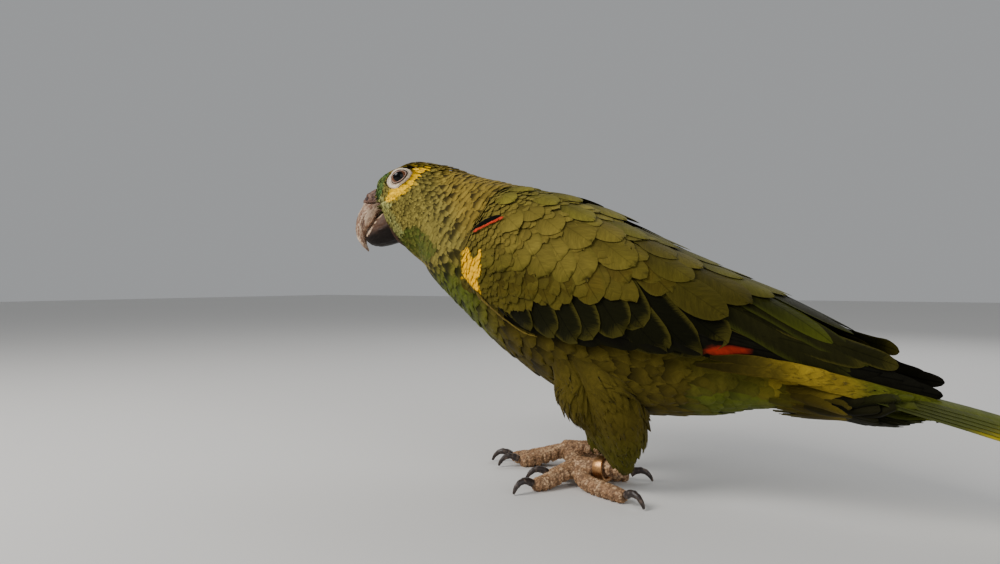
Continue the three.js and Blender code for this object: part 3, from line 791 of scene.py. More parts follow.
# --- materials
class Finish:
    """One material and its nodes. Inputs are numbers, colours or the outputs of other nodes."""

    def __init__(self, name, **sockets):
        self.material = bpy.data.materials.new(name)
        self.material.use_nodes = True
        self.tree = self.material.node_tree
        self.shader = self.tree.nodes["Principled BSDF"]
        for socket, value in sockets.items():
            self.shader.inputs[SOCKET_NAMES[socket]].default_value = value

    def feed(self, socket, value):
        if isinstance(value, bpy.types.NodeSocket):
            self.tree.links.new(value, socket)
        else:
            socket.default_value = value

    def node(self, kind, output=0, settings=None, **inputs):
        node = self.tree.nodes.new(kind)
        for key, value in (settings or {}).items():
            setattr(node, key, value)
        for key, value in inputs.items():
            self.feed(node.inputs[int(key[1:]) if key[1:].isdigit() else key], value)
        return node.outputs[output]

    def math(self, operation, a, b=0.0):
        return self.node("ShaderNodeMath", settings={"operation": operation}, i0=a, i1=b)

    def times(self, a, b):
        return self.math("MULTIPLY", a, b)

    def plus(self, a, b):
        return self.math("ADD", a, b)

    def ramp(self, value, low, high, start=0.0, end=1.0):
        return self.node("ShaderNodeMapRange", settings={"interpolation_type": "SMOOTHSTEP"},
                         i0=value, i1=low, i2=high, i3=start, i4=end)

    def mixed(self, share, a, b, blend="MIX"):
        return self.node("ShaderNodeMix", output=2, settings={"data_type": "RGBA", "blend_type": blend},
                         i0=share, i6=a, i7=b)

    def attribute(self, name, output):
        return self.node("ShaderNodeAttribute", output=output, settings={"attribute_name": name})

    def parts(self, vector):
        node = self.tree.nodes.new("ShaderNodeSeparateXYZ")
        self.feed(node.inputs[0], vector)
        return node.outputs

    def joined(self, x, y, z):
        return self.node("ShaderNodeCombineXYZ", i0=x, i1=y, i2=z)

    def noise(self, vector, scale, detail=2.0, rough=0.55):
        return self.node(
            "ShaderNodeTexNoise", Vector=vector, Scale=scale, Detail=detail, Roughness=rough)

    def place(self):
        return self.node("ShaderNodeTexCoord", output=3)

    def shaded(self, tone, value):
        """A colour made lighter or darker by a value."""
        return self.mixed(1.0, tone, self.joined(value, value, value), "MULTIPLY")

    def bump(self, height, strength, distance):
        normal = self.node("ShaderNodeBump", Strength=strength, Distance=distance, Height=height)
        self.feed(self.shader.inputs["Normal"], normal)

    def colour(self, value):
        self.feed(self.shader.inputs["Base Color"], value)
        return self.material


SOCKET_NAMES = {
    "roughness": "Roughness", "metallic": "Metallic", "specular": "Specular IOR Level",
    "sheen": "Sheen Weight", "coat": "Coat Weight", "coat_roughness": "Coat Roughness",
    "subsurface": "Subsurface Weight",
}
BARB_SLANT = 0.85  # how far a barb runs to the tip for its way out from the shaft
SHAFT_SHADE = (0.35, 0.35, 0.3, 1)


def plumage(name, roughness, sheen, streaks):
    """Feather: barbs slanting from the shaft, an edge of its own colour, darker near the root with
    painted shade.
    """
    finish = Finish(name, roughness=roughness, sheen=sheen, specular=0.03)
    tint, rim = finish.attribute("tint", 0), finish.attribute("rim", 0)
    rim_share = finish.attribute("rim", 3)
    across, along, chance = finish.parts(finish.attribute("vane", 1))[:3]
    wide, far, shaft = finish.parts(finish.attribute("span", 1))[:3]
    times, plus = finish.times, finish.plus
    out = finish.math("ABSOLUTE", wide)
    barb = finish.math("SUBTRACT", far, times(out, BARB_SLANT))
    seed = times(chance, 60.0)
    fine, broad = (finish.noise(finish.joined(times(barb, along_it), seed, times(out, across_it)), 1.0)
                   for along_it, across_it in ((2.6, 0.3), (0.5, 0.2)))
    ragged = times(finish.math("SUBTRACT", fine, 0.5), 0.35)
    side = finish.ramp(plus(finish.math("ABSOLUTE", across), ragged), 0.72, 1.0)
    tip = finish.ramp(plus(along, times(ragged, 0.4)), 0.86, 1.0)
    edge = times(finish.math("MAXIMUM", side, tip), rim_share)
    strength = plus(1 - streaks, times(fine, 2 * streaks))
    lively = times(strength, finish.ramp(broad, 0.25, 0.75, 0.86, 1.14))
    # Painted shade: each vane darker towards its root, where the feather before it lies over it.
    depth = times(lively, finish.ramp(along, 0.05, 0.6, 0.62, 1.0))
    edged = finish.mixed(edge, finish.shaded(tint, depth), rim)
    line = times(finish.ramp(out, 0.45, 0.12), shaft)
    finish.bump(plus(fine, times(line, 0.8)), 0.35, 0.25 * MM)
    shaft_tone = finish.mixed(1.0, edged, SHAFT_SHADE, "MULTIPLY")
    return finish.colour(finish.mixed(line, edged, shaft_tone))


def bare(name, scale, depth, contrast=0.25, bump=0.3, **sockets):
    """Skin or horn: its painted tint, broken by fine grain, with the grain in relief."""
    finish = Finish(name, **sockets)
    tint = finish.attribute("tint", 0)
    place = finish.place()
    fine = finish.noise(place, scale, 4.0, 0.6)
    coarse = finish.noise(place, scale * 0.22, 2.0)
    strength = finish.times(finish.ramp(fine, 0.25, 0.75, 1 - contrast, 1 + contrast),
                            finish.ramp(coarse, 0.25, 0.75, 0.88, 1.12))
    finish.bump(fine, bump, depth * MM)
    return finish.colour(finish.shaded(tint, strength))


# --- the skin
SKIN_NODES = ["head", "neck", "trunk", "rump", "thigh_left", "thigh_right",
              "wing_left_coverts", "wing_right_coverts"]
CORE_NODES = ["head", "neck", "trunk", "rump", "tail"]
SOCKET_NODES = ["eye_left", "eye_right"]  # they fill the head's sockets, so that skin spans them
CORE_GRAIN = 1.6 * MM
THIN_SHARE = 0.42  # share of a thin part's thickness that either side may move in


def coat_depth(points):
    """Depth of the plumage over the skin at points, thinnest on the face."""
    forward, _, up = head_place(points)
    on_head = steps(-26, -8, forward - 0.25 * (up + 20)) * steps(-70, -50, up)
    return sizes().coat_body + (sizes().coat_head - sizes().coat_body) * on_head


def shrunk(mesh):
    """Moves a surface inward by the coat's depth, or less where it is thin."""
    points, normals = mesh_points(mesh), mesh_normals(mesh)
    room = reached(tree_of(mesh), points - normals * 0.02 * MM, -normals, 8 * MM)
    depth = np.fmin(coat_depth(points), THIN_SHARE * room)
    move_points(mesh, points - normals * depth[:, None])


def body_core():
    """The body without its limbs, as a fine mesh under the coat, to lay feathers on."""
    core = refined("core", CORE_NODES + SOCKET_NODES, CORE_GRAIN, sizes().bridge, 8)
    mesh = core.data
    bpy.data.objects.remove(core)
    shrunk(mesh)
    return mesh


GROUNDS = {}


def ground(name):
    """The ground of the body, the tail, or a side's wing or thigh, made once and kept."""
    if name not in GROUNDS:
        kind, _, side = name.partition("_")
        makers = {"body": body_ground, "tail": tail_ground, "thigh": thigh_ground,
                  "wing": wing_ground, "side": wing_side}
        GROUNDS[name] = makers[kind](side, dict(SIDES)[side]) if side else makers[kind]()
    return GROUNDS[name]


class PARROT_OT_skin(bpy.types.Operator):
    """One skin under the whole coat, in place of the body's solids"""

    bl_idname = "parrot.skin"
    bl_label = "Skin"

    def execute(self, context):
        skin = refined("skin", SKIN_NODES + SOCKET_NODES, sizes().skin_grain, sizes().bridge, 6)
        shrunk(skin.data)
        points = mesh_points(skin.data)
        # The skin is painted half the plumage's colour with the gap tone added: painted shade, as it
        # lies deep in shadow under the feathers.
        tint = markings(points) * 0.5 + palette()["gap"] * 0.3
        tint = mix(tint, palette()["bill_base"], steps(-1.2, 0.2, ahead_of_base(points)))
        material = bare("plumed_skin", 900.0, 0.3, 0.3, 0.5, roughness=0.85, specular=0.1)
        painted(skin, tint, material, "body_plumage", *SKIN_NODES)
        return {"FINISHED"}


# --- eyes and eyelids
EYE_MIDDLE = 1.0  # forward of the head's origin
EYE_BALL = 5.9  # radius of the eyeball
EYE_SIDE = 4.7  # this far from its axis it goes straight in
EYE_POINTS = (48, 64)  # from pole to pole and round it
CORNEA = (0.55, 4.2)  # its height over the eyeball and its radius
FRONT = 1.5  # angles from the pole that belong to the eye's front, in radians
EYE_RISE = 1.2  # how far it and the opening lie above the middle of its solid
EYE_TILT = 0.2  # how much the opening's front end dips, in radians
EYE_OPENING = (4.3, 2.3)  # half length and half height between the lids
RING_OUTLINE = [9.5, 6.4, 5.4, 6.2, 7.0, 5.3, 5.1, 8.2]  # radius every eighth of a turn
LID_ROWS = 22
LID_SPOKES = 96
LID_THICK = 0.7  # how far the lids lie over the eyeball at the opening, and at least
RING_RISE = 1.3  # and the ring over the skin
RING_SINK = 2.4  # how far its edge goes down into the plumage
BESIDE = 40.0  # to the side of the head's middle, clear of the skin
HEAD_HALF = 14.0  # half width of the head where no skin is met
CREAM = linear((232, 212, 184))
# Painted shade in the folds of the wrinkled ring.
CREAM_FOLD_SHADE = linear((176, 142, 116))
LID_MARGIN = linear((50, 28, 20))
LID_RIM = linear((188, 156, 138))
IRIS_PALE = linear((112, 70, 44))
PUPIL_BLACK = linear((5, 4, 4))
RIM_WIDTHS = (0.6, 1.3)  # where the lids' pale rim and their dark line end, from the opening


def round_values(values, angles):
    """Smooth closed curve through values that stand at even angles."""
    rows = np.array([values[-1], *values, values[0], values[1]])[:, None]
    return along_rows(rows, 1 + np.mod(angles, 2 * math.pi) / (2 * math.pi) * len(values))[..., 0]


def grid_mesh(name, places, wrap):
    """A sheet through a grid of places; wrap joins its last column to its first."""
    rows, columns = places.shape[:2]
    faces = []
    for r in range(rows - 1):
        for c in range(columns if wrap else columns - 1):
            start, beside = r * columns + c, r * columns + (c + 1) % columns
            faces.append((start, beside, beside + columns, start + columns))
    mesh = bpy.data.meshes.new(name)
    mesh.from_pydata(places.reshape(-1, 3).tolist(), [], faces)
    mesh.polygons.foreach_set("use_smooth", [True] * len(mesh.polygons))
    return mesh


def eye_centre(sign):
    """Middle of an eyeball, which reaches as far out as its solid."""
    node = "eye_left" if sign > 0 else "eye_right"
    low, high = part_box(node)
    inward = EYE_BALL * MM - (high - low).z / 2
    return middle_of(node) - sign * LEFT * inward + HEAD_UP * EYE_RISE * MM


def eye(side, sign, material):
    """One eyeball: a sheet from its front pole to its rear one."""
    node = f"eye_{side}"
    radius = EYE_BALL * MM
    polar = np.linspace(0, math.pi, EYE_POINTS[0])
    turn = turns(EYE_POINTS[1])
    out = np.minimum(radius * np.sin(polar), EYE_SIDE * MM)
    dome = CORNEA[0] * MM * np.clip(1 - (out / (CORNEA[1] * MM)) ** 2, 0, 1) * (polar < FRONT)
    lift = radius * np.cos(polar) + dome
    pole = unit(sign * LEFT + 0.05 * HEAD_UP)
    places = (eye_centre(sign) + pole * lift[:, None, None]
              + FORWARD * (out[:, None] * np.cos(turn))[..., None]
              + sign * np.cross(pole, FORWARD) * (out[:, None] * np.sin(turn))[..., None])
    places = places[:, ::sign]
    mesh = grid_mesh(node, places, True)
    ring = (np.where(polar < FRONT, out, radius) / MM)[:, None] + 0 * turn
    fleck = grain(places, 0.5 * MM, 3)
    pupil, iris = sizes().pupil / MM, sizes().iris / MM
    tint = mix(PUPIL_BLACK, IRIS_PALE, steps(pupil - 0.15, pupil + 0.15, ring))
    tint = tint * (1 + 0.25 * fleck * (ring > pupil))[..., None]
    tint = mix(tint, LID_MARGIN, steps(iris - 0.5, iris, ring))
    painted(place_object(f"{node}_ball", mesh), tint, material, "eye", node)


class PARROT_OT_eyes(bpy.types.Operator):
    """Eyeballs with pupil, iris and a domed cornea"""

    bl_idname = "parrot.eyes"
    bl_label = "Eyes"

    def execute(self, context):
        wet = bare("wet_eye", 1500.0, 0.05, 0.06, 0.05, roughness=0.08, coat=0.15,
                   coat_roughness=0.03, specular=0.12)
        for side, sign in SIDES:
            eye(side, sign, wet)
        return {"FINISHED"}


def eye_surface(forward, up):
    """How far out the eyeball's surface is at a place in the head's frame."""
    room = EYE_BALL ** 2 - (forward - EYE_MIDDLE) ** 2 - (up - EYE_RISE) ** 2
    return head_place(eye_centre(1))[1] + np.sqrt(np.clip(room, 0.5, None))


def lids(side, sign, skin, material):
    """The lids and ring of one eye, from the opening out to the plumage."""
    turn = turns(LID_SPOKES)
    share = np.linspace(0, 1, LID_ROWS)[:, None] ** 1.15
    tilted = turn + EYE_TILT
    inner = 1 / np.hypot(np.cos(tilted) / EYE_OPENING[0], np.sin(tilted) / EYE_OPENING[1])
    reach = inner + (round_values(RING_OUTLINE, turn) - inner) * share
    forward = EYE_MIDDLE + reach * np.cos(turn)
    up = EYE_RISE + reach * np.sin(turn)
    starts = head_point(forward, sign * BESIDE, up)
    out = BESIDE - reached(skin, starts, -sign * LEFT, BESIDE * MM) / MM
    out = np.where(np.isnan(out), HEAD_HALF, out)
    ball = eye_surface(forward, up)
    rise = steps(0, 0.75, share)
    level = (ball + LID_THICK) * (1 - rise) + (out + RING_RISE) * rise
    level = np.maximum(level, ball + LID_THICK - 0.2)
    wave = share * 15 + 0.8 * np.sin(3 * turn) + 0.5 * np.sin(7 * turn + 1)
    pleat = np.sin(wave) * steps(0.05, 0.3, share) * steps(1.0, 0.85, share)
    level = level - RING_SINK * steps(0.8, 1.0, share) + 0.16 * pleat
    level = level - steps(0.1, 0.0, share) * (level - ball + 0.35)
    places = head_point(forward, sign * level, up)
    places = places + 0.12 * MM * (LEFT * sign) * grain(places, 1.0 * MM, 7)[..., None]
    places, pleat, past = places[:, ::sign], pleat[:, ::sign], (reach - inner)[:, ::sign]
    mesh = grid_mesh(f"eyelids_{side}", places, True)
    # Painted shade in the troughs of the pleats.
    fold_shade = 0.55 * steps(0.1, -0.9, pleat + 0.5 * grain(places, 0.8 * MM, 4))
    tint = mix(CREAM, CREAM_FOLD_SHADE, fold_shade)
    off = past + 0.1 * grain(places, 0.9 * MM, 6)
    tint = mix(tint, LID_MARGIN, steps(RIM_WIDTHS[1] + 0.25, RIM_WIDTHS[1] - 0.15, off))
    tint = mix(tint, LID_RIM, steps(RIM_WIDTHS[0] + 0.12, RIM_WIDTHS[0] - 0.12, off))
    painted(place_object(f"eyelids_{side}", mesh), tint, material, "eye")


class PARROT_OT_lids(bpy.types.Operator):
    """Eyelids and the bare ring of wrinkled skin round each eye"""

    bl_idname = "parrot.lids"
    bl_label = "Eyelids"

    def execute(self, context):
        skin = tree_of(bpy.data.objects["skin"].data)
        material = bare("eye_ring_skin", 1400.0, 0.25, 0.12, 0.6, roughness=0.6, subsurface=0.06)
        for side, sign in SIDES:
            lids(side, sign, skin, material)
        return {"FINISHED"}


def in_eye_ring(points, margin):
    """Whether points on the head lie within the bare ring, grown by a margin in millimetres."""
    forward, left, up = head_place(points)
    turn = np.arctan2(up - EYE_RISE, forward - EYE_MIDDLE)
    reach = np.hypot(up - EYE_RISE, forward - EYE_MIDDLE)
    return (np.abs(left) > 8) & (reach < round_values(RING_OUTLINE, turn) + margin)


# --- bill and cere
HORN = linear((132, 98, 76))
HORN_PALE = linear((222, 194, 164))
HORN_DARK = linear((62, 40, 32))
LOWER_HORN = linear((88, 62, 46))
LOWER_DARK = linear((20, 11, 7))
CERE_BROWN = linear((102, 70, 54))
# Dark patches of the cere, and painted shade in its nostrils and deepest creases.
CERE_PATCH_AND_PIT_SHADE = linear((44, 22, 18))
CERE_PALE = linear((186, 156, 134))
BILL_HUB = (22.0, -24.0)  # the bill's growth rings curve round this place in the head's frame
LOWER_RIM = [(17.0, -12.5, 1.2), (22.0, -13.4, 1.1), (27.0, -16.0, 1.1), (34.0, -21.0, 1.4)]
LOWER_GAPE = 1.6  # how far its rim rises to the corner of the mouth
UPPER_ROOT = 2.2  # how far the upper bill goes back into the head
CERE_ROOT = 1.2  # and the cere
LOWER_REACH = 2.6  # how far the lower bill's front edge comes forward of its solid
LOWER_ROOT = 4.0  # and how far its root goes back into the head
NOSTRIL = (26.6, -1.2)  # forward and up


def carved(name, nodes, facet, grow, rounds, relief, moved, tint, material, slot, apart=False):
    """A bare part in place of solids: a fine mesh with relief, moved a little and painted.

    relief gives the height of its points over the surface in millimetres, moved the way that
    they go in metres, and tint their colours.
    """
    piece = refined(name, nodes, facet, grow * MM, rounds, apart)
    points = mesh_points(piece.data)
    points = points + mesh_normals(piece.data) * (relief(points) * MM)[:, None]
    points = points + moved(points)
    move_points(piece.data, points)
    painted(piece, tint(points), material, slot, *nodes)


def set_back(points, distance):
    """The way that a part's root goes back into the head, by a distance in millimetres."""
    return -np.outer(distance * MM * steps(26, 21, head_place(points)[0]), FORWARD)


def growth(points):
    """Place along the bill's curve, out from its hub and across, for streaks that follow it."""
    forward, left, up = head_place(points)
    ahead, above = forward - BILL_HUB[0], up - BILL_HUB[1]
    return np.stack((np.arctan2(above, ahead) * 2.2, np.hypot(ahead, above) * 1.5, left * 0.8), axis=1)


def flakes(points):
    """1 along the thin pale edges where layers of horn flake off, 0 between them."""
    flow = growth(points) + 0.25 * grain(points, 1.5 * MM, 18)[:, None]
    return np.maximum(steps(0.16, 0.02, np.abs(grain(flow, 2.3, 11))),
                      0.8 * steps(0.14, 0.02, np.abs(grain(flow, 1.2, 16))))


def upper_relief(points):
    lumps = 0.12 * grain(points, 0.8 * MM, 12) + 0.2 * grain(points, 3 * MM, 19)
    return 0.26 * flakes(points) - 0.16 + lumps


def upper_tint(points):
    flow = growth(points)
    pale = 0.3 * steps(0, 0.8, grain(points, 2.6 * MM, 13)) + 0.25 * steps(0, 0.7, grain(flow, 1.6, 14))
    tint = mix(HORN, HORN_PALE, pale)
    tint = mix(tint, HORN_DARK, 0.6 * steps(0.0, 0.7, grain(flow, 1.7, 15)))
    tint = mix(tint, HORN_DARK, 0.75 * steps(-25, -30, head_place(points)[2]))
    flaking = 0.85 * flakes(points) * steps(0.9, 0.2, np.abs(grain(points, 5 * MM, 17)))
    return mix(tint, HORN_PALE, flaking)


def lower_relief(points):
    return 0.16 * grain(points, 1.1 * MM, 21) + 0.08 * grain(points, 0.6 * MM, 22)


def lower_moved(points):
    """The lower bill's front comes forward, its root goes back and its rim rises to the gape."""
    forward, _, up = head_place(points)
    shift = steps(22, 31, forward) * LOWER_REACH - steps(25, 20, forward) * LOWER_ROOT
    lifted = LOWER_GAPE * steps(26, 21, forward) * steps(-19, -14, up)
    return np.outer(shift * MM, FORWARD) + np.outer(lifted * MM, HEAD_UP)


def lower_tint(points):
    forward, _, up = head_place(points)
    tint = mix(LOWER_HORN, LOWER_DARK, steps(-17.5, -24, up + 1.4 * grain(points, 2 * MM, 23)))
    rim = near_line(np.stack((forward, up + 0.5 * grain(points, 1.2 * MM, 24)), axis=1), LOWER_RIM)
    return mix(tint, HORN_PALE, 0.75 * rim * steps(-0.3, 0.3, grain(points, 1.3 * MM, 25)))


def cere_relief(points):
    """Granular skin, swollen round a nostril on each side."""
    forward, left, up = head_place(points)
    apart = np.hypot(forward - NOSTRIL[0], up - NOSTRIL[1]) + 3 * steps(1.5, 0.5, np.abs(left))
    swell = 0.5 * np.exp(-(apart - 2.4) ** 2)
    knobs = 0.5 * pebbles(points, 1.5 * MM, 34) - 0.25
    return swell - 1.7 * np.exp(-(apart / 1.2) ** 2) + knobs + 0.12 * grain(points, 0.7 * MM, 31)


def cere_tint(points):
    patches = grain(points, 1.6 * MM, 33)
    tint = mix(CERE_BROWN, CERE_PALE, 0.6 * steps(0.2, 0.8, patches))
    # Painted shade where the relief sinks: the nostrils, and a little in the deepest creases between the
    # grains.
    pit_shade = steps(-0.25, -0.8, cere_relief(points))
    return mix(tint, CERE_PATCH_AND_PIT_SHADE, np.maximum(pit_shade, 0.85 * steps(0.0, -0.6, patches)))


class PARROT_OT_bill(bpy.types.Operator):
    """Upper and lower bill with flaking growth layers, and the cere with its nostrils"""

    bl_idname = "parrot.bill"
    bl_label = "Bill"

    def execute(self, context):
        horn = bare("bill_horn", 1100.0, 0.2, 0.22, 0.5, roughness=0.48, coat=0.08, coat_roughness=0.4)
        dark = bare("dark_horn", 1100.0, 0.2, 0.25, 0.5, roughness=0.52, specular=0.2)
        rough = bare("cere_skin", 1600.0, 0.3, 0.35, 0.7, roughness=0.62)
        facet = sizes().bill_grain
        carved("upper_bill", ["bill_upper"], facet, 0.2, 5, upper_relief,
               lambda points: set_back(points, UPPER_ROOT), upper_tint, horn, "bill_horn")
        carved("lower_bill", ["bill_lower"], facet, 0.2, 4, lower_relief, lower_moved, lower_tint,
               dark, "bill_dark")
        carved("cere_swelling", ["cere"], facet, 0.2, 4, cere_relief,
               lambda points: set_back(points, CERE_ROOT), cere_tint, rough, "cere_skin")
        return {"FINISHED"}


# --- feet
PAD = 4.4  # from one pad's middle to the next along a toe
TOE_END = 3.4  # length over which a toe's end is rounded
TOE_HALF = 7 * MM  # points nearer to a toe's line than this belong to it
WART = 1.35 * MM  # size of the foot's granular scales
FOOT_TAN = linear((176, 136, 98))
FOOT_PALE = linear((224, 190, 150))
# Painted shade for the creases between the foot's scales and pads.
FOOT_CREASE_SHADE = linear((78, 52, 36))
CLAW_HORN = linear((48, 38, 34))
CLAW_PALE = linear((128, 108, 94))


def toe_lines(side):
    """For each toe and the shank of a side: its start, direction and length, seen from above."""
    lines = []
    for toe in TOES:
        points = solid_points(f"toe_{side}_{toe}")
        claw = middle_of(f"claw_{side}_{toe}")
        middle = points.mean(0)
        way = unit((claw - middle) * (1, 1, 0))
        along = (points - middle) @ way
        start = middle + way * along.min()
        end = points[along > along.max() - 5 * MM]
        lines.append((start * (1, 1, 0), way, np.ptp(along), (end[:, 2].max() + end[:, 2].min()) / 2))
    return lines


def foot_relief(places, normals, lines):
    """Height of the granular scales and pads in millimetres, how pale they are (least in the creases
    between them, which are given painted shade), and the toes rounded.
    """
    best = np.full(len(places), 1e9)
    run = np.zeros(len(places))
    rounded = places.copy()
    for start, way, reach, height in lines:
        flat = (places - start) * (1, 1, 0)
        along = np.clip(dot(flat, way), 0, reach)
        apart = np.linalg.norm(flat - along[:, None] * way, axis=1)
        closer = apart < best
        best = np.where(closer, apart, best)
        run = np.where(closer, along, run)
        past = np.clip((dot(flat, way) - reach) / MM / TOE_END + 1, 0, 1)
        middle = start + along[:, None] * way + UP * height
        inward = (1 - np.sqrt(1 - 0.62 * past ** 2)) * closer * (apart < TOE_HALF)
        rounded = rounded + inward[:, None] * (middle - places)
    top = steps(0.2, 0.7, normals[:, 2])
    beat = run / (PAD * MM)
    crease = np.exp(-((beat - np.floor(beat) - 0.5) / 0.14) ** 2) * (1 - top) * steps(0, 2.5 * MM, run)
    warts = pebbles(places + 0.2 * MM * grain(places, 2 * MM, 40)[:, None], WART, 42)
    fine = grain(places, 0.6 * MM, 43)
    relief = 0.42 * warts - 0.1 - 0.6 * crease + 0.3 * (1 - top) * (1 - crease) + 0.06 * fine
    return relief, np.clip(warts * (1 - 0.7 * crease) + 0.15 * fine, 0, 1), rounded


def claw_tint(points):
    streak = grain(points * (1, 1, 0.4), 0.9 * MM, 44)
    return mix(CLAW_HORN, CLAW_PALE, 0.5 * steps(0, 0.8, streak))


def foot_and_claws(side, skin, horn):
    """One shank with its toes, and their claws."""
    nodes = [f"shank_{side}", *(f"toe_{side}_{toe}" for toe in TOES)]
    foot = refined(f"foot_{side}", nodes, sizes().foot_grain, sizes().bridge, 6)
    points, normals = mesh_points(foot.data), mesh_normals(foot.data)
    relief, plate, rounded = foot_relief(points, normals, toe_lines(side))
    moved = rounded + normals * (relief * MM)[:, None]
    moved[:, 2] = np.maximum(moved[:, 2], 0.05 * MM)
    move_points(foot.data, moved)
    # Painted shade in the creases between scales and pads, where the plates are least.
    tint = mix(FOOT_CREASE_SHADE, FOOT_TAN, 0.2 + 0.8 * plate)
    tint = mix(tint, FOOT_PALE, 0.7 * plate * steps(-0.2, 0.6, grain(points, 1.8 * MM, 43)))
    painted(foot, tint, skin, "leg_skin", *nodes)
    carved(f"claws_{side}", [f"claw_{side}_{toe}" for toe in TOES],
           0.8 * sizes().bill_grain, 0.1, 3,
           lambda points: 0.25 + 0.1 * grain(points, 1.2 * MM, 45),
           lambda points: 0 * points, claw_tint, horn, "claw_horn", apart=True)


class PARROT_OT_feet(bpy.types.Operator):
    """Scaly feet and the claws"""

    bl_idname = "parrot.feet"
    bl_label = "Feet"

    def execute(self, context):
        skin = bare("foot_skin", 1500.0, 0.25, 0.25, 0.7, roughness=0.62, specular=0.3)
        horn = bare("claw_horn", 900.0, 0.15, 0.25, 0.3, roughness=0.4, specular=0.4)
        for side, _ in SIDES:
            foot_and_claws(side, skin, horn)
        return {"FINISHED"}


# --- the leg band
BAND_SPOKES = 96
BAND_TONE = (0.56, 0.3, 0.12, 1)
BAND_WORN = (0.36, 0.18, 0.08, 1)


class PARROT_OT_band(bpy.types.Operator):
    """The plain metal band round the left leg"""

    bl_idname = "parrot.band"
    bl_label = "Leg band"

    def execute(self, context):
        points = solid_points("leg_ring")
        centre = points.mean(0)
        axis = np.linalg.eigh(np.cov((points - centre).T))[1][:, 0]
        along = (points - centre) @ axis
        out = np.linalg.norm(points - centre - along[:, None] * axis, axis=1)
        half, inner, outer = np.abs(along).max(), out.min(), out.max()
        edge = 0.12 * (outer - inner) + 0.08 * MM
        corner = [(half - edge, outer), (half - 0.3 * edge, outer - 0.3 * edge),
                  (half, outer - edge), (half, inner + edge), (half - edge, inner)]
        outline = [*corner, *((-a, r) for a, r in reversed(corner)), corner[0]]
        side = unit(np.cross(axis, UP))
        rise = np.cross(side, axis)
        turn = turns(BAND_SPOKES)
        ways = np.cos(turn)[:, None] * side + np.sin(turn)[:, None] * rise
        rows = [centre + axis * a + ways * r for a, r in outline]
        mesh = grid_mesh("leg_band", np.stack(rows), True)
        merged([mesh], mesh)
        metal = Finish("band_metal", roughness=0.38, metallic=1.0)
        worn = metal.noise(metal.place(), 1800.0, 4.0)
        metal.bump(worn, 0.25, 0.1 * MM)
        metal.colour(metal.mixed(metal.ramp(worn, 0.35, 0.7), BAND_TONE, BAND_WORN))
        finished(place_object("leg_band", mesh), metal.material, "band_metal", "leg_ring")
        return {"FINISHED"}


# --- body plumage
def ground_spread(surface, seed, low, high, pitch):
    """Cells in rows round the body between two rows of its ground, spaced as the feathers are."""
    random = np.random.default_rng(seed)
    columns = np.linspace(0, HOOP_ANGLES, HOOP_ANGLES, endpoint=False)
    cells = []
    row = low
    while row < high:
        line = np.full(HOOP_ANGLES, row)
        by_row, by_column = (np.linalg.norm(slope, axis=1) for slope in surface.slopes(line, columns))
        spacing = float(size_at(row, 0))
        around = np.concatenate(([0], np.cumsum(by_column)))
        count = max(4, int(round(around[-1] / spacing)))
        places = (np.arange(count) + random.random()) / count * around[-1]
        cells.append(np.stack((
            np.full(count, row), np.interp(places, around, np.arange(HOOP_ANGLES + 1)))))
        row += pitch * spacing / max(np.percentile(by_row, 60), 1e-5)
    return np.concatenate(cells, axis=1)


# Down the bird, hoop by hoop: spacing of the feathers, their length and half width.
BODY_SIZES = [
    (1.15, 2.8, 0.95), (1.25, 3.2, 1.05), (1.4, 3.7, 1.15), (1.6, 4.4, 1.3), (2.1, 7, 2.6),
    (2.8, 9.5, 3.6), (3.4, 12, 4.5), (5, 16, 5), (6.2, 18, 5.4), (5.8, 19, 5), (4.8, 19, 4.4),
    (4.2, 20, 4.2), (3.9, 21, 4.2), (3.8, 22, 4.2), (3.7, 22, 4), (3.7, 20, 3.8), (3.7, 18, 3.4),
    (3.7, 17, 3.2), (3.7, 16, 3),
]
WING_COVER = 9 * MM  # skin nearer than this below a wing bears no feathers
THIGH_COVER = 30 * MM
TAIL_START = 102.0  # further back than this the plumage has no feathers on top, only the tail's


def size_at(row, column):
    return along_rows(BODY_SIZES, np.asarray(row) / HOOP_STEPS)[..., column] * MM


def covered(points, normals):
    """Whether points on the body lie under a wing or inside a thigh."""
    result = np.zeros(len(points), bool)
    wings = [node for side, _ in SIDES for node in wing_nodes(side, "coverts", "secondaries")]
    for nodes, reach in ((wings, WING_COVER), (["thigh_left", "thigh_right"], THIGH_COVER)):
        result |= ~np.isnan(reached(tree_of(solids_mesh(nodes)), points, normals, reach))
    return result


RISE = 0.11  # how much a feather's tip lies over its root, as a share of its length
MOST_RISE = 1.5 * MM
CREST = 2.2  # how much higher the feathers stand at the back of the crown
VENT_SWELL = 4.4  # and under the tail's root


def swelling(points):
    """Extra height of the plumage over the nape and under the tail's root, in metres."""
    forward, left, up = head_place(points)
    nape = steps(4, -14, forward) * steps(-52, -26, forward) * steps(-9, 3, up - 0.3 * forward)
    x, z = points[:, 0] / MM, points[:, 2] / MM
    vent = steps(76, 98, x) * steps(138, 110, x) * steps(62, 47, z)
    tucked = steps(44, 58, x) * steps(96, 80, x) * steps(56, 48, z)
    return (CREST * nape * steps(16, 6, np.abs(left)) + VENT_SWELL * vent - 1.8 * tucked) * MM


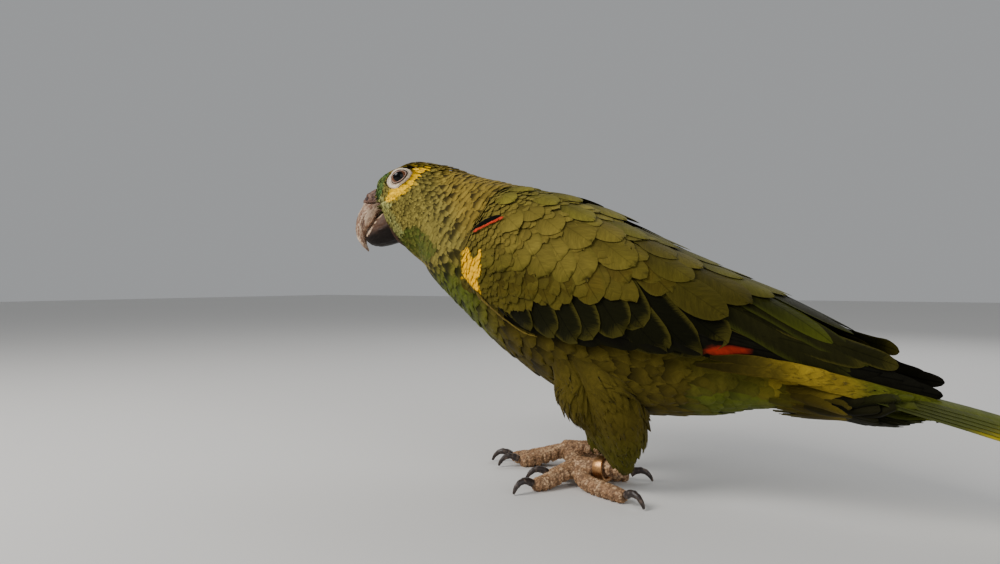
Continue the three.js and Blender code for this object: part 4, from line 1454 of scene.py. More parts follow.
def lay_body(coat, low, high, shape, seed, jitter, pitch, rim, rim_share, shade,
             uneven=0.22, ragged=0.16):
    """Covers the body between two hoops with feathers that lie towards the tail.

    jitter is how far they lie out of their rows, and pitch how far apart the rows are, both as
    shares of the spacing. rim is the share of a feather's colour at its edge: paler tips, with a
    painted highlight of edges that catch the light. shade is the share at its hidden part, a painted
    shade near the root, and uneven is how much one feather differs from the next.
    """
    surface = ground("body")
    random = np.random.default_rng(seed)
    cells = ground_spread(surface, seed, low * HOOP_STEPS, high * HOOP_STEPS, pitch)
    cells = cells + jitter * (random.random(cells.shape) - 0.5) * 2 * (
        size_at(cells[0], 0) / np.linalg.norm(surface.slopes(*cells)[1], axis=1))
    points, normals = surface.at(*cells), surface.normal(*cells)
    length = size_at(cells[0], 1) * (0.85 + 0.3 * random.random(len(points)))
    tips = surface.down(cells, length)
    ends = surface.at(*tips)
    keep = ~(in_eye_ring(points, 0.1) | in_eye_ring(ends, -0.2))
    keep &= ahead_of_base(mix(points, ends, 0.4)) < 0
    on_tail = points[:, 0] > TAIL_START * MM
    keep &= on_tail | ~(covered(points, normals) & covered(ends, surface.normal(*tips)))
    keep &= ~on_tail | (normals[:, 2] < 0.1)
    cells, tips, points, ends = cells[:, keep], tips[:, keep], points[keep], ends[keep]
    count = len(points)
    half = size_at(cells[0], 2)
    tint = markings(mix(points, ends, 0.8)) * (1 + uneven * (2 * random.random(count) - 1))[:, None]
    tips[1] += 0.16 * (random.random(count) - 0.5) * (tips[0] - cells[0])
    height = coat_depth(ends) * (0.76 + 0.24 * random.random(count)) + swelling(ends)
    rise = np.minimum(RISE * np.linalg.norm(ends - points, axis=1), MOST_RISE)
    # Painted shade near each feather's root, where the one before it lies over it; the yellow feathers
    # get less.
    hidden = shade + (0.75 - shade) * steps(0.35, 0.7, tint[:, 0])[:, None, None]

    def tone(along, across, places):
        return lit(tint[:, None, None], along, hidden, 1.08, 0.45, 0.85)

    # The edges take tint * rim: paler tips, with a painted highlight where the edges catch the light.
    coat.lay(surface, shape, cells, tips, half, height, 0.1 * half, tone, tint * rim, rim_share,
             sunk=height - rise, seed=seed, ragged=ragged)


class PARROT_OT_head_feathers(bpy.types.Operator):
    """Small scale-like feathers of the head"""

    bl_idname = "parrot.head_feathers"
    bl_label = "Head feathers"

    def execute(self, context):
        coat = Coat("feathers_head")
        lay_body(coat, 0.0, 3.6, "scale", 101, 0.5, 0.87, 1.15, 0.3, 0.26, 0.3)
        coat.build(plumage("plumage_head", 0.7, 0.0, 0.3), "body_plumage")
        return {"FINISHED"}


class PARROT_OT_body_feathers(bpy.types.Operator):
    """Feathers of neck, breast, belly, back and rump, in rows"""

    bl_idname = "parrot.body_feathers"
    bl_label = "Body feathers"

    def execute(self, context):
        neck = Coat("feathers_neck")
        lay_body(neck, 3.6, 7.0, "ruff", 102, 0.1, 1.25, 1.15, 0.4, 0.2, 0.16, 0.08)
        neck.build(plumage("plumage_neck", 0.68, 0.04, 0.4), "body_plumage")
        trunk = Coat("feathers_trunk")
        lay_body(trunk, 7.0, 11.4, "contour", 103, 0.25, 1.0, 1.1, 0.4, 0.34)
        lay_body(trunk, 11.4, 15.6, "covert", 104, 0.15, 0.8, 1.1, 0.4, 0.5, 0.15, 0.03)
        trunk.build(plumage("plumage_body", 0.66, 0.04, 0.26), "body_plumage")
        return {"FINISHED"}


# --- thighs
THIGH_TURNS = 72
THIGH_LEVELS = 26
THIGH_TIP = 4  # rows of the thigh's ground that close in below its solid
THIGH_TOP = 6  # and rows that go on above it, into the body
THIGH_FAR = 0.05  # longer than any way out of a thigh
THIGH_ROW = 1.1  # rows of the ground from one row of feathers to the next
THIGH_SPACE = 1.45 * MM  # and between the feathers of a row
THIGH_LENGTH = (10, 6)  # shortest, and how much more the longest is


def thigh_ground(side, _):
    """The thigh's surface by levels from the top down and by angles round it."""
    node = f"thigh_{side}"
    points = solid_points(node)
    low, high = points[:, 2].min() + 1.5 * MM, points[:, 2].max() - 4 * MM
    upper = points[points[:, 2] > low + 0.75 * (high - low)].mean(0)
    lower = points[points[:, 2] < low + 0.2 * (high - low)].mean(0)
    levels = np.linspace(high, low, THIGH_LEVELS)
    share = (levels - lower[2]) / (upper[2] - lower[2])
    middles = lower + share[:, None] * (upper - lower)
    turn = turns(THIGH_TURNS)
    ways = np.stack((np.cos(turn), np.sin(turn), np.zeros_like(turn)), axis=1)
    starts = middles[:, None] + ways * THIGH_FAR
    reach = THIGH_FAR - reached(tree_of(solids_mesh([node])), starts, -ways, THIGH_FAR)
    reach = smoothed(reach, 2, True)
    reach = reach - np.minimum(sizes().coat_body, 0.35 * reach)
    places = middles[:, None] + reach[..., None] * ways
    below = np.arange(1, THIGH_TIP + 1)[:, None, None]
    ending = middles[-1] + (places[-1] - middles[-1]) * (1 - 0.8 * below / THIGH_TIP)
    ending = ending - UP * below * 0.5 * MM
    above = np.arange(THIGH_TOP, 0, -1)[:, None, None]
    rising = middles[0] + (places[0] - middles[0]) * (1 - 0.06 * above) + above * MM * (-1.5, 0, 2.0)
    places = np.concatenate((rising, places, ending))
    middles = np.concatenate((rising.mean(1), middles, np.repeat(middles[-1:], THIGH_TIP, 0)))
    return round_ground(places, middles)


def thigh_coat(number, side, material):
    """The feathers of one thigh, in rings from the top down."""
    surface = ground(f"thigh_{side}")
    random = np.random.default_rng(200 + number)
    cells = []
    for row in np.arange(0.0, THIGH_TOP + THIGH_LEVELS - 3.0, THIGH_ROW):
        line = surface.at(np.full(THIGH_TURNS, row), np.arange(float(THIGH_TURNS)))
        around = np.linalg.norm(np.diff(line, axis=0), axis=1).sum()
        count = int(around / THIGH_SPACE)
        places = (np.arange(count) + random.random(count) * 0.6) / count * THIGH_TURNS
        cells.append(np.stack((np.full(count, row), places)))
    cells = np.concatenate(cells, axis=1)
    count = cells.shape[1]
    length = (THIGH_LENGTH[0] + THIGH_LENGTH[1] * random.random(count)) * MM
    tips = surface.down(cells, length)
    tips[0] = np.minimum(tips[0], surface.limit[0])
    ends = surface.at(*tips)
    height = ends[:, 2] / MM
    tint = mix(markings(ends), palette()["leaf"], 0.35 * steps(36, 16, height))
    tint = tint * (1.0 + 0.16 * random.random(count))[:, None]
    rear = np.cos(cells[1] / THIGH_TURNS * 2 * math.pi)
    tips[1] += 1.6 * (random.random(count) - 0.5)
    full = 4.0 * steps(0.2, 1.0, rear) * steps(12, 26, height)
    front = 3.4 * steps(0.0, 0.9, -rear) * steps(28, 42, height)
    lift = (0.5 + 0.9 * random.random(count) + full + front) * MM
    coat = Coat(f"feathers_thigh_{side}")
    half = (2.2 + 1.0 * random.random(count)) * MM
    coat.lay(surface, "loose", cells, tips, half, lift, 0.3 * MM, tint, tint, 0.2,
             sunk=0.7 * lift - 0.5 * MM, seed=210 + number, ragged=0.3)
    coat.build(material, "body_plumage")


class PARROT_OT_thigh_feathers(bpy.types.Operator):
    """Loose feathers of the thighs, hanging down to the feet"""

    bl_idname = "parrot.thigh_feathers"
    bl_label = "Thigh feathers"

    def execute(self, context):
        material = plumage("plumage_thigh", 0.7, 0.04, 0.3)
        for number, (side, _) in enumerate(SIDES):
            thigh_coat(number, side, material)
        return {"FINISHED"}


# --- wings
class WingRow(NamedTuple):
    """One row of wing feathers: the ground they are placed on, their shape, and how they lie."""

    ground: str
    shape: str
    lift: float  # of the first feather's tip
    step: float  # and how much higher each next one lies
    tone: str
    rim: str
    share: float  # of the rim's colour
    shaft: float
    bend: float
    tilt: float
    feathers: list  # from the front: [x, angle] (or [x, z] on the side) of tip and root, half width


WING_ROWS = {
    "primaries": WingRow("side", "flight", -2, 0.15, "flight", "flight", 0, 0.8, 0, -0.3, [
        (128.5, 52.6, 30, 76, 4), (130.5, 56.6, 30, 77, 4), (124.5, 59.4, 28, 78, 4.4),
        (117, 62.6, 26, 80, 4.6), (109, 65.6, 24, 82, 4.8)]),
    "secondaries": WingRow("side", "flight", -2.1, 0.06, "flight", "dark", 0.5, 0.7, 0, -0.3, [
        (-4, 76.5, -58, 86, 5.6), (14, 75.5, -44, 88, 5.8), (30, 75, -30, 90, 6), (44, 74.6, -16, 92, 6),
        (58, 74.2, -2, 93, 6), (70, 73.6, 8, 92, 6), (81, 72.4, 20, 90, 6), (91, 70.6, 30, 88, 6),
        (99, 68.6, 38, 86, 5.8)]),
    "tertials": WingRow("wing", "blade", -1.2, 0.25, "tertial", "leaf", 0.3, 0.6, -0.1, -0.3, [
        (101, 90, 24, 60, 9.2), (104, 66, 34, 46, 8), (90.5, 56, 30, 34, 7.6), (98, 24, 36, 18, 7.5)]),
    "inner": WingRow("side", "flight", -0.9, 0.2, "tertial", "pale", 0.5, 0.6, 0, -0.2, [
        (104, 70.5, 50, 86, 5), (115, 68.8, 56, 92, 4.4)]),
    "alula": WingRow("wing", "covert", -1, -0.1, "dark", "pale", 0.8, 0.4, 0, 0.2, [
        (-73, 102, -80, 88, 1.8), (-67, 109, -76, 92, 2.2), (-56, 117, -70, 100, 2.4),
        (-61, 109.5, -67, 84, 2.6), (-57, 114, -63, 84, 2.8), (-51.8, 118, -60, 88, 3.4)]),
    "greater": WingRow("wing", "covert", -0.5, -0.12, "dark", "pale", 0.55, 0.6, 0.03, 0.35, [
        (-42.8, 118.7, -56, 84, 6.2), (-28.6, 115.5, -45, 80, 7.6), (-16.8, 114.4, -35, 76, 8.4),
        (-8.5, 109.5, -26, 68, 9.6), (6, 100, -14, 62, 9.8), (15.8, 93.7, -4, 58, 9.2),
        (24.3, 107, -4, 66, 9.2), (38.3, 102.5, 4, 58, 9.6), (50.2, 88, 14, 52, 9.6)]),
    "median": WingRow("wing", "covert", 0, -0.06, "bright", "pale", 0.5, 0.5, 0.02, 0.35, [
        (-55.5, 102.7, -60, 78, 4.8), (-47.5, 98, -52, 74, 4.4), (-38.9, 97, -45, 70, 5.8),
        (-29.4, 96, -38, 68, 6.6), (-18, 88, -29, 62, 5), (-4.5, 84.8, -20, 58, 8),
        (9.3, 68.8, -8, 50, 6.6), (27.2, 66.5, 8, 48, 7), (22.3, 60.3, 4, 42, 6.4)]),
    "third": WingRow("wing", "covert", 0.1, -0.03, "covert", "pale", 0.4, 0.3, 0.02, 0.3, [
        (-64, 86, -70, 68, 5.4), (-54.8, 84, -60, 64, 6.6), (-43, 80, -52, 62, 6.8),
        (-30.1, 79.1, -43, 58, 8.6), (-19, 77, -31, 56, 7), (-9.4, 74.6, -25, 54, 8.8),
        (-23.7, 68, -36, 52, 7), (-38, 70, -48, 54, 6.8), (-50, 72, -58, 56, 6.2)]),
    "scapular": WingRow("wing", "scapular", 0.4, 0, "covert", "pale", 0.15, 0.3, 0, 0, [
        (58.7, 51.1, 32, 34, 9.2), (49.9, 69.6, 20, 54, 9.2), (34.4, 51.8, 12, 40, 9.2),
        (36.6, 33.8, 15, 22, 8.2), (10.1, 58.6, -10, 46, 8.7), (25, 36, 4, 25, 8.2),
        (-10.4, 53.2, -29, 44, 9), (1.6, 43, -17, 32, 8.4), (-26.4, 51.5, -41, 42, 7.4),
        (-38, 46, -54, 38, 7.2), (-48, 56, -62, 46, 7.2)]),
    "back": WingRow("wing", "scapular", 0.5, 0, "back", "pale", 0.15, 0.2, 0, 0, [
        (66, 30, 40, 20, 8.2), (70, 10, 42, 8, 7.7), (52, 20, 28, 12, 7.7), (40, 6, 16, 4, 7.2),
        (22, 14, 0, 9, 7.2), (10, 28, -12, 20, 7.4), (-4, 12, -25, 8, 7.2), (-14, 34, -34, 25, 7.2),
        (-26, 16, -46, 11, 6.8), (-34, 31, -52, 22, 6.8), (-52, 22, -70, 16, 6.2),
        (-56, 38, -70, 30, 5.8)]),
}
FLIGHT_ROWS = ("primaries", "secondaries", "tertials", "inner")
COVERT_ROWS = ("alula", "greater", "median", "third", "scapular", "back")
BRIGHT_TERTIAL = 2  # place in its row of the tertial that is leaf green
ROOT_DEPTH = 1.6 * MM  # how far a covert's root lies below its tip
QUILL_DEPTH = 0.8 * MM  # and a flight feather's
PLUME_DEPTH = 2.5 * MM  # and a flank plume's
SMOOTH_EDGE = 0.008  # how ragged a flight or tail feather's edge is
COVERT_RANDOM = 0.13  # how much one covert's shade differs from the next
TIP_RISE = 5.0  # the right wing's tip lies this much higher
UNEVEN = {1: 0.25, -1: 0.7}  # how far tips lie out of place on the left and right wing, in cells
# Markings on the wing: [x, z, half width] of the red patch, and [x, arc] of the outline of the
# yellow bend, where an arc is the angle times the wing's usual millimetres in a degree.
SPECULUM = [(41, 73.2, 0.8), (46, 73.4, 2.3), (50, 73.8, 2.5), (56, 73.8, 0.9), (60, 73.6, 0.4)]
ARC = 0.7
BEND_OF_WING = [
    (-83.5, 52.9), (-83.5, 69.1), (-77, 72.6), (-70.1, 74.5), (-71.2, 70.5), (-72.4, 68), (-69.6, 64),
    (-68.6, 58), (-69.3, 52.4), (-71.2, 52.6), (-72, 55.8), (-74.7, 57.8), (-77.1, 57), (-77.4, 54.4),
    (-79.5, 52.4),
]
# The pale front edge of the wing: [x, arc].
WING_RIM = [(-73.7, 73.5), (-68.1, 77.1), (-63.4, 79.4), (-58.4, 81.4), (-51, 84.4), (-44.1, 84.8),
            (-38.2, 84.6)]
SHOULDER_RED = [(-75.6, 44.6), (-71.5, 42.9), (-66.5, 40.4), (-62, 37.9), (-57.6, 35.8)]
# The dark slit above it, a painted shadow: black feathers where the slit between the feathers lies in
# shade. Root and tip of each black feather, and their half widths.
SHOULDER_SHADOW_SLIT = [(-77.5, 44, -65, 37.4), (-74, 41.4, -61.5, 36.4), (-69, 38.4, -59.5, 35.4)]
SHOULDER_SHADOW_SLIT_HALF = np.array((0.9, 1.5, 1.1))
SMALL_COVERTS = (-86, 2)  # x between which the small coverts lie
# Their spacing, length and half width at the wing's front, and how much more each is behind.
SMALL_SPACE = (2.9, 5.5)
SMALL_LENGTH = (6.5, 10)
SMALL_HALF = (2.1, 3.0)


def arc_places(points):
    """x and arc of points on a wing."""
    x = points[..., 0] / MM
    height = points[..., 2] / MM - WING_AXIS[0] - WING_AXIS[1] * x
    angle = np.arctan2(np.abs(points[..., 1] - MID_PLANE) / MM, height)
    return np.stack((x, ARC * np.degrees(angle)), axis=-1)


def paler(tint, places):
    """The wing's tints, paler and browner towards its upper front, partly the front's own browner olive
    and partly painted light, and darker at its lower rear with painted shade.
    """
    x, arc = np.moveaxis(arc_places(places), -1, 0)
    # Partly the front's own browner olive, partly painted light on the wing's upper front.
    light = steps(30, -26, x) * steps(62, 44, arc)
    # Painted shade over the wing's lower rear.
    rear_shade = steps(20, 56, x + 0.8 * (arc - 40)) * steps(16, 32, arc)
    return tint * (1 - 0.5 * rear_shade[..., None]) * (1 + light[..., None] * (0.85, 0.75, 1.3))


def flight_tint(name, chances):
    """A colour function of flight feathers: a dark inner web, a greener edge and the red patch."""
    tone = palette()

    def tint(along, across, places):
        shape = (*along.shape, 3)
        base = np.broadcast_to(tone[name], shape) * chances[:, None, None, None]
        if name == "flight":
            fleck = 0.8 * grain(places, 2.5 * MM, 61)[..., None]
            red = near_line(places[..., ::2] / MM + fleck, SPECULUM)
            base = mix(base, tone["tertial"], 0.3 * steps(0.5, 1.0, -across) * steps(0.98, 0.7, along))
            return mix(base, tone["speculum"], red)
        base = mix(base, tone["dark"], 0.5 * steps(0.2, -0.7, across) * steps(1.0, 0.6, along))
        leaf = (np.arange(len(along)) == BRIGHT_TERTIAL)[:, None, None] * (len(along) > 2)
        return mix(base, tone["leaf"], leaf * (0.1 + 0.5 * steps(0.5, 0.95, along)))

    return tint


def strip_cells(count, start, total):
    """Corners and sizes of tall cells, side by side on a map that has room for a total of them."""
    corner = np.stack(((start + np.arange(count)) / total + 0.002, np.full(count, 0.01)), axis=1)
    return corner, (1 / total - 0.004, 0.98)


def covert_tint(name, chances):
    """A colour function of coverts: darker with painted shade where the row before them lies over them.
    """
    base = palette()[name] * chances[:, None]
    # Share of the colour left in that painted shade at the root; less shade on the plain coverts and the
    # back.
    deep = 0.72 if name in ("covert", "back") else 0.5

    def tint(along, across, places):
        return paler(lit(base[:, None, None], along, deep, 1.06, 0.4, 0.97), places)

    return tint


def lay_rows(coat, names, side, sign, seeds, crown, depth, ragged, tint_of, total=None):
    """Lays rows of WING_ROWS on a wing, in the colours that tint_of gives for a row.

    seeds are those of the first row's places and of its vanes. depth is how far the roots lie
    below the tips. With a total, each feather has one of that many tall cells on the map.
    """
    start = 0
    for order, name in enumerate(names):
        row = WING_ROWS[name]
        table = np.array(row.feathers, float)
        count = len(table)
        random = np.random.default_rng(seeds[0] + order)
        cell = side_cell if row.ground == "side" else wing_cell
        if row.ground == "side" and sign < 0:
            table[:, 1] += TIP_RISE * steps(90, 115, table[:, 0])
        tips = np.array(cell(table[:, 0], table[:, 1]))
        tips = tips + UNEVEN[sign] * (random.random(tips.shape) - 0.5)
        lift = (row.lift + row.step * np.arange(count)) * MM
        shade = 1 + COVERT_RANDOM * (2 * random.random(count) - 1)
        wide = table[:, 4] * (0.94 + 0.14 * random.random(count))
        coat.lay(ground(f"{row.ground}_{side}"), row.shape, cell(table[:, 2], table[:, 3]), tips,
                 wide * MM, lift, crown, tint_of(row.tone, shade), palette()[row.rim], row.share,
                 bend=row.bend, tilt=sign * row.tilt * MM, seed=seeds[1] + order, shaft=row.shaft,
                 cells=strip_cells(count, start, total) if total else None,
                 sunk=lift - depth, ragged=ragged)
        start += count


class PARROT_OT_flight_feathers(bpy.types.Operator):
    """Primaries, secondaries and tertials of the folded wings"""

    bl_idname = "parrot.flight_feathers"
    bl_label = "Flight feathers"

    def execute(self, context):
        material = plumage("plumage_flight", 0.55, 0.0, 0.16)
        total = sum(len(WING_ROWS[name].feathers) for name in FLIGHT_ROWS)
        for number, (side, sign) in enumerate(SIDES):
            coat = Coat(f"flight_{side}")
            lay_rows(coat, FLIGHT_ROWS, side, sign, (300 + 10 * number, 310), 0.4 * MM, QUILL_DEPTH,
                     SMOOTH_EDGE, flight_tint, total)
            coat.build(material, "flight_plumage", *wing_nodes(side, "secondaries", "primaries"))
        return {"FINISHED"}


class PARROT_OT_coverts(bpy.types.Operator):
    """Rows of coverts and scapulars over the folded wings"""

    bl_idname = "parrot.coverts"
    bl_label = "Wing coverts"

    def execute(self, context):
        material = plumage("plumage_covert", 0.66, 0.02, 0.34)
        for number, (side, sign) in enumerate(SIDES):
            coat = Coat(f"coverts_{side}")
            lay_rows(coat, COVERT_ROWS, side, sign, (400 + 10 * number, 410), 0.35 * MM, ROOT_DEPTH,
                     0.09, covert_tint)
            coat.build(material, "wing_plumage")
        return {"FINISHED"}


def string_of(line, count, random):
    """Short feathers one behind the other along a line, each from x and arc to x and arc."""
    places = along_rows(line, np.linspace(0, len(line) - 1, count))
    places[:, 1] += 0.5 * (random.random(count) - 0.5)
    return np.concatenate((places[:-3], places[3:]), axis=1)


def shoulder(number, side, material):
    """One wing's small coverts, the slit, the red rim and the pale front edge."""
    tone = palette()
    surface = ground(f"wing_{side}")
    random = np.random.default_rng(500 + number)
    spots = []
    x = SMALL_COVERTS[0]
    while x < SMALL_COVERTS[1]:
        share = steps(-70, -12, x)
        step = SMALL_SPACE[0] + SMALL_SPACE[1] * share
        angles = np.arange(12 + step * random.random(), 106 - 42 * steps(-70, 0, x), step / ARC)
        spots.append(np.stack((np.full(len(angles), x), angles)))
        x += 0.7 * step
    x, angle = np.concatenate(spots, axis=1)
    share = steps(-70, -12, x)
    x = x + (1.0 + 1.6 * share) * (random.random(len(x)) - 0.5)
    length = (SMALL_LENGTH[0] + SMALL_LENGTH[1] * share) * (0.85 + 0.3 * random.random(len(x)))
    steep = np.radians(20 + 34 * steps(40, 90, angle) + 16 * (random.random(len(x)) - 0.5))
    end_x, end_angle = x + length * np.cos(steep), angle + length * np.sin(steep) / ARC
    tint = mix(tone["covert"], tone["bright"], 0.5 * steps(20, 80, angle))
    tint = mix(tint, tone["back"], 0.5 * steps(40, 20, angle))
    tint = tint * (0.84 + 0.32 * random.random(len(x)))[:, None]
    lift = (-0.3 + 0.6 * random.random(len(x))) * MM

    def shaded(along, across, places, tint=tint):
        seen = arc_places(places) + 0.35 * grain(places, 1.5 * MM, 62)[..., None]
        # Painted shade near each root, and a painted highlight at the tip where the full share is above
        # 1; the yellow bend gets less shade.
        plain = paler(lit(tint[:, None, None], along, 0.6, 1.05), places)
        gold = lit(tone["shoulder"], along, 0.8, 1.0, 0.4, 0.8)
        return mix(plain, gold, inside(seen, BEND_OF_WING))

    coat = Coat(f"small_coverts_{side}")
    coat.lay(surface, "contour", wing_cell(x, angle), wing_cell(end_x, end_angle),
             (SMALL_HALF[0] + SMALL_HALF[1] * share) * MM, lift, 0.15 * MM, shaded, tint * 0.75, 0.3,
             seed=510 + number, sunk=-2.0 * MM, ragged=0.14)
    def string(places, half, lift, crown, tint, rim, seed, sunk, ragged=0.05):
        roots, tips = (wing_cell(x, arc / ARC) for x, arc in (places.T[:2], places.T[2:]))
        coat.lay(surface, "contour", roots, tips, half * MM, lift * MM, crown * MM, tint, rim, 0.3,
                 seed=seed + number, sunk=sunk * MM, ragged=ragged)

    # A painted shadow: near-black feathers where the feathers part at the slit.
    slit_shadow = tone["gap"] * 0.1
    string(np.array(SHOULDER_SHADOW_SLIT), SHOULDER_SHADOW_SLIT_HALF, 0.9, 0.1, slit_shadow, slit_shadow, 530, 0.5)
    line = string_of(SHOULDER_RED, 14, random)
    half = 0.5 + 0.4 * random.random(len(line))
    red = tone["shoulder_red"] * (0.7 + 0.5 * random.random(len(line)))[:, None]
    string(line, half, 1.1, 0.3, red, tone["shoulder_red"], 520, 0.4, 0.15)
    line = string_of(WING_RIM, 24, random)
    half = 1.2 - 0.95 * steps(-64, -44, line[:, 2])
    tan = tone["neck"] * (0.5 + 0.4 * random.random(len(line)))[:, None]
    string(line, half, 0.9, 0.2, tan, tone["pale"], 540, 0.2)
    coat.build(material, "wing_plumage")


class PARROT_OT_small_coverts(bpy.types.Operator):
    """Small feathers of the shoulder, with the yellow bend and the red rim of the wing"""

    bl_idname = "parrot.small_coverts"
    bl_label = "Small coverts"

    def execute(self, context):
        material = plumage("plumage_small", 0.66, 0.03, 0.26)
        for number, (side, _) in enumerate(SIDES):
            shoulder(number, side, material)
        return {"FINISHED"}


# Long feathers of the flank lie over the wing's lower edge: [x, z] of their upper border.
PLUME_TOP = [
    (30, 73.6), (50, 73), (63.4, 71.8), (76, 69.6), (90, 66.2), (104, 61.4), (115, 58.2), (130, 54.2),
]
PLUME_ROWS = ((5.6, 2.3, 3.2), (2.2, 2.6, 3.9))  # below the border, half width and space along
PLUME_X = (66.0, 130.0)  # x of their tips
PLUME_LENGTH = 27.0


def plumes(number, side, sign, material):
    """One flank's long feathers, in two rows."""
    tone = palette()
    top_x, top_z = np.transpose(PLUME_TOP)
    random = np.random.default_rng(700 + number)
    coat = Coat(f"flank_plumes_{side}")
    for order, (below, wide, space) in enumerate(PLUME_ROWS):
        tip_x = np.arange(*PLUME_X, space) + random.random() * 2
        count = len(tip_x)
        tip_x = tip_x + 2.0 * random.random(count)
        root_x = tip_x - PLUME_LENGTH * (0.85 + 0.3 * random.random(count))
        tip_z, root_z = (np.interp(x, top_x, top_z) - below for x in (tip_x, root_x))
        tip_z = tip_z + 0.9 * (random.random(count) - 0.5)
        shade = 0.7 + 0.35 * random.random(count)
        lift = (0.5 * order + 0.4 * random.random(count)) * MM

        def shaded(along, across, places, shade=shade):
            x = places[..., 0] / MM + 4 * grain(places, 5 * MM, 63)
            tint = mix(tone["belly"], tone["flank"], steps(62, 84, x))
            tint = mix(tint, tone["leaf"], steps(88, 112, x))
            # Painted shade near each root, and a painted highlight at the tip.
            return lit(tint * shade[:, None, None, None], along, 0.5, 1.1)

        coat.lay(ground(f"side_{side}"), "covert", side_cell(root_x, root_z - 0.5),
                 side_cell(tip_x, tip_z), wide * MM, lift, 0.2 * MM, shaded, tone["flank"], 0.1,
                 tilt=sign * 0.3 * MM, seed=710 + order, sunk=lift - PLUME_DEPTH, ragged=0.12)
    coat.build(material, "body_plumage")


class PARROT_OT_flank_plumes(bpy.types.Operator):
    """Long yellow and green feathers of the rear flank, over the wing's edge"""

    bl_idname = "parrot.flank_plumes"
    bl_label = "Flank plumes"

    def execute(self, context):
        material = plumage("plumage_flank", 0.66, 0.03, 0.3)
        for number, (side, sign) in enumerate(SIDES):
            plumes(number, side, sign, material)
        return {"FINISHED"}


# --- tail
TAIL_X = (78.0, 182.0, 2.0)
TAIL_Y = (-34.0, 34.0, 2.0)
# Tail feathers of one side from the middle out: tip x, tip and root distance from the mid-plane.
RECTRICES = [(174.6, 2.6, 2.0), (173.2, 5.6, 3.6), (171.0, 8.6, 5.4), (167.5, 11.4, 7.0),
             (163.0, 13.8, 8.6), (157.0, 16.0, 10.0)]
RECTRIX_ROOT = 84.0  # x of their roots
RECTRIX_HALF = 6.0
TAIL_CELLS = 2 * len(RECTRICES)  # the feathers' cells on the map
ROOF = 0.3  # how steeply the tail's sides slope down from its ridge
RIDGE_HALF = 3.0  # half width of the flat ridge
TAIL_FAR = 0.2  # a height clear of the tail


def tail_ground():
    """The tail's roof-shaped upper surface as a sheet over x (rows) and y (columns)."""
    xs, ys = np.arange(*TAIL_X), np.arange(*TAIL_Y)
    below = mid_line(xs, np.zeros(len(xs)))
    ridge = TAIL_FAR - reached(tree_of(solids_mesh(["tail"])), below + TAIL_FAR * UP, -UP, 0.3)
    ridge = filled(ridge[:, None], 0)
    drop = ROOF * np.maximum(np.abs(ys) - RIDGE_HALF, 0) * MM
    grid = np.stack(np.broadcast_arrays(xs[:, None] * MM, MID_PLANE + ys * MM, ridge - drop), axis=-1)
    return Ground(blurred(grid, 3, False), below)


class PARROT_OT_tail(bpy.types.Operator):
    """Tail feathers, the middle pair on top"""

    bl_idname = "parrot.tail"
    bl_label = "Tail"

    def execute(self, context):
        surface = ground("tail")
        tone = palette()
        coat = Coat("tail_feathers")
        number = 0
        for order, (tip_x, tip_y, root_y) in enumerate(RECTRICES):
            for _, sign in SIDES:

                def tint(along, across, places, order=order, sign=sign):
                    outer = steps(0.0, 0.6, sign * across)
                    base = np.broadcast_to(tone["leaf"], (*along.shape, 3)) * (1.0 - 0.05 * order)
                    # Painted shade: each feather but the middle one darker on its inner side towards the
                    # root, where the next feather lies over it.
                    hidden = (1 - outer) * 0.5 * steps(0.8, 0.5, along) * (order > 0)
                    lower = (order == len(RECTRICES) - 1) * outer * 0.9
                    edge = np.maximum(lower, steps(0.7, 0.9, along + 0.04 * across))
                    return mix(mix(base, tone["dark"], hidden), tone["tail_edge"], edge)

                root = cell_in(TAIL_X, TAIL_Y, [RECTRIX_ROOT], [-sign * root_y])
                tip = cell_in(TAIL_X, TAIL_Y, [tip_x], [-sign * tip_y])
                lift = (-0.5 - 0.4 * order - (0.2 if sign < 0 else 0)) * MM
                coat.lay(surface, "flight", root, tip, RECTRIX_HALF * MM, lift, 0.4 * MM, tint,
                         tone["leaf"], 0.3, tilt=-sign * 0.3 * MM * (order > 0),
                         cells=strip_cells(1, number, TAIL_CELLS), seed=600 + number, shaft=0.6,
                         sunk=lift, ragged=SMOOTH_EDGE)
                number += 1
        coat.build(plumage("plumage_tail", 0.5, 0.04, 0.16), "tail_plumage", "tail")
        return {"FINISHED"}


# --- the stage
# Camera place, and its turn in degrees; the frame keeps everything that stands on the floor.
CAMERA_PLACE = (0.12074, -0.35301, 0.10346)
CAMERA_TURN = (90.0, 0.0, 30.0)
CAMERA_LENS = 25.92
# Lights: place, place that they look at, side in metres, watts and colour.
LIGHTS = {
    "key": ((-0.52, -0.62, 0.68), (-0.06, 0.0, 0.1), 0.5, 8.0, (1.0, 0.97, 0.93)),
    "fill": ((0.85, -0.55, 0.45), (0.02, 0.0, 0.08), 0.8, 3.0, (0.94, 0.97, 1.0)),
    "rim": ((0.1, 0.8, 0.75), (0.0, 0.0, 0.1), 0.7, 3.0, (1.0, 1.0, 1.0)),
}
FLOOR_HALF = 4
FLOOR_GREY = (0.72, 0.71, 0.69, 1)
SKY_GREY = (0.86, 0.88, 0.9, 1)
SKY_STRENGTH = 0.4


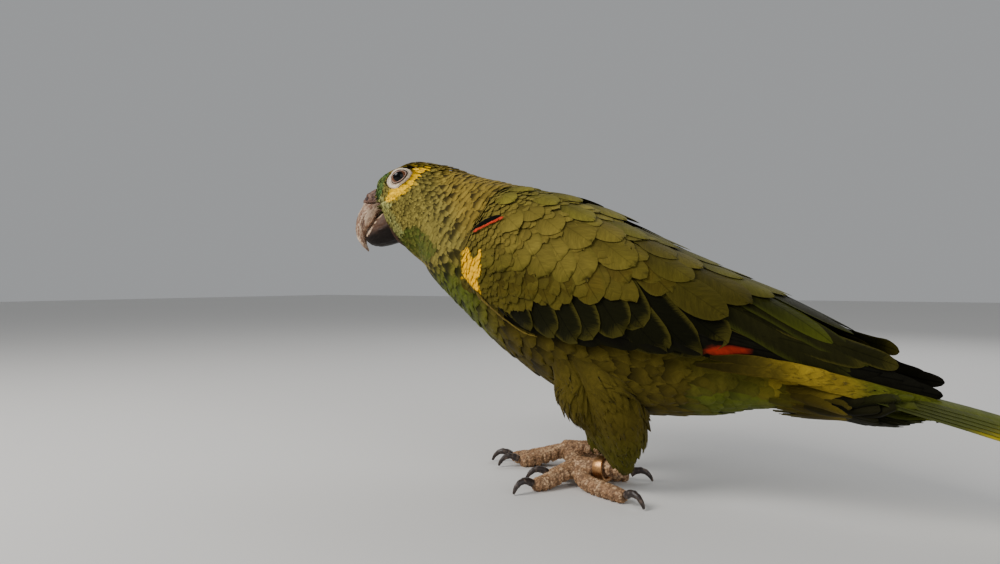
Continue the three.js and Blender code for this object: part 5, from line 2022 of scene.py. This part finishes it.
class PARROT_OT_stage(bpy.types.Operator):
    """Pale floor, soft lights, even surroundings and the camera"""

    bl_idname = "parrot.stage"
    bl_label = "Stage"

    def execute(self, context):
        floor_mesh = bpy.data.meshes.new("floor")
        corners = [(x * FLOOR_HALF, y * FLOOR_HALF, 0) for x, y in ((-1, -1), (1, -1), (1, 1), (-1, 1))]
        floor_mesh.from_pydata(corners, [], [(0, 1, 2, 3)])
        floor = place_object("floor", floor_mesh)
        plain = Finish("floor_paper", roughness=0.8, specular=0.2)
        plain.shader.inputs["Base Color"].default_value = FLOOR_GREY
        floor_mesh.materials.append(plain.material)
        for name, (place, target, side, watts, tone) in LIGHTS.items():
            light = bpy.data.lights.new(name, "AREA")
            light.energy = watts
            light.size = side
            light.color = tone
            lamp = place_object(name, light)
            lamp.location = place
            lamp.rotation_euler = (Vector(target) - Vector(place)).to_track_quat("-Z", "Y").to_euler()
        world = bpy.data.worlds.new("surroundings")
        world.use_nodes = True
        sky = world.node_tree.nodes["Background"].inputs
        sky[0].default_value = SKY_GREY
        sky[1].default_value = SKY_STRENGTH
        context.scene.world = world
        lens = bpy.data.cameras.new("camera")
        lens.lens = CAMERA_LENS
        lens.clip_start = 0.01
        camera = place_object("camera", lens)
        camera.location = CAMERA_PLACE
        camera.rotation_euler = [math.radians(turn) for turn in CAMERA_TURN]
        context.scene.camera = camera
        return {"FINISHED"}


# --- panel and registration
OPERATORS = (
    PARROT_OT_skin, PARROT_OT_eyes, PARROT_OT_lids, PARROT_OT_bill, PARROT_OT_feet, PARROT_OT_band,
    PARROT_OT_head_feathers, PARROT_OT_body_feathers, PARROT_OT_thigh_feathers,
    PARROT_OT_flight_feathers, PARROT_OT_coverts, PARROT_OT_small_coverts, PARROT_OT_flank_plumes,
    PARROT_OT_tail, PARROT_OT_stage,
)


class PARROT_PT_panel(bpy.types.Panel):
    """The parrot's pieces, sizes and colours"""

    bl_idname = "PARROT_PT_panel"
    bl_label = "Parrot"
    bl_space_type = "VIEW_3D"
    bl_region_type = "UI"
    bl_category = "Parrot"

    def draw(self, context):
        layout = self.layout
        for operator in OPERATORS:
            layout.operator(operator.bl_idname)
        for settings in (context.scene.parrot_sizes, context.scene.parrot_colours):
            for name in type(settings).__annotations__:
                layout.prop(settings, name)


CLASSES = (ParrotSizes, ParrotColours, *OPERATORS, PARROT_PT_panel)


def register():
    for item in CLASSES:
        bpy.utils.register_class(item)
    bpy.types.Scene.parrot_sizes = bpy.props.PointerProperty(type=ParrotSizes)
    bpy.types.Scene.parrot_colours = bpy.props.PointerProperty(type=ParrotColours)


def unregister():
    del bpy.types.Scene.parrot_colours
    del bpy.types.Scene.parrot_sizes
    for item in reversed(CLASSES):
        bpy.utils.unregister_class(item)


def main():
    register()
    for operator in OPERATORS:
        getattr(bpy.ops.parrot, operator.bl_idname.split(".")[1])()


if __name__ == "__main__":
    main()
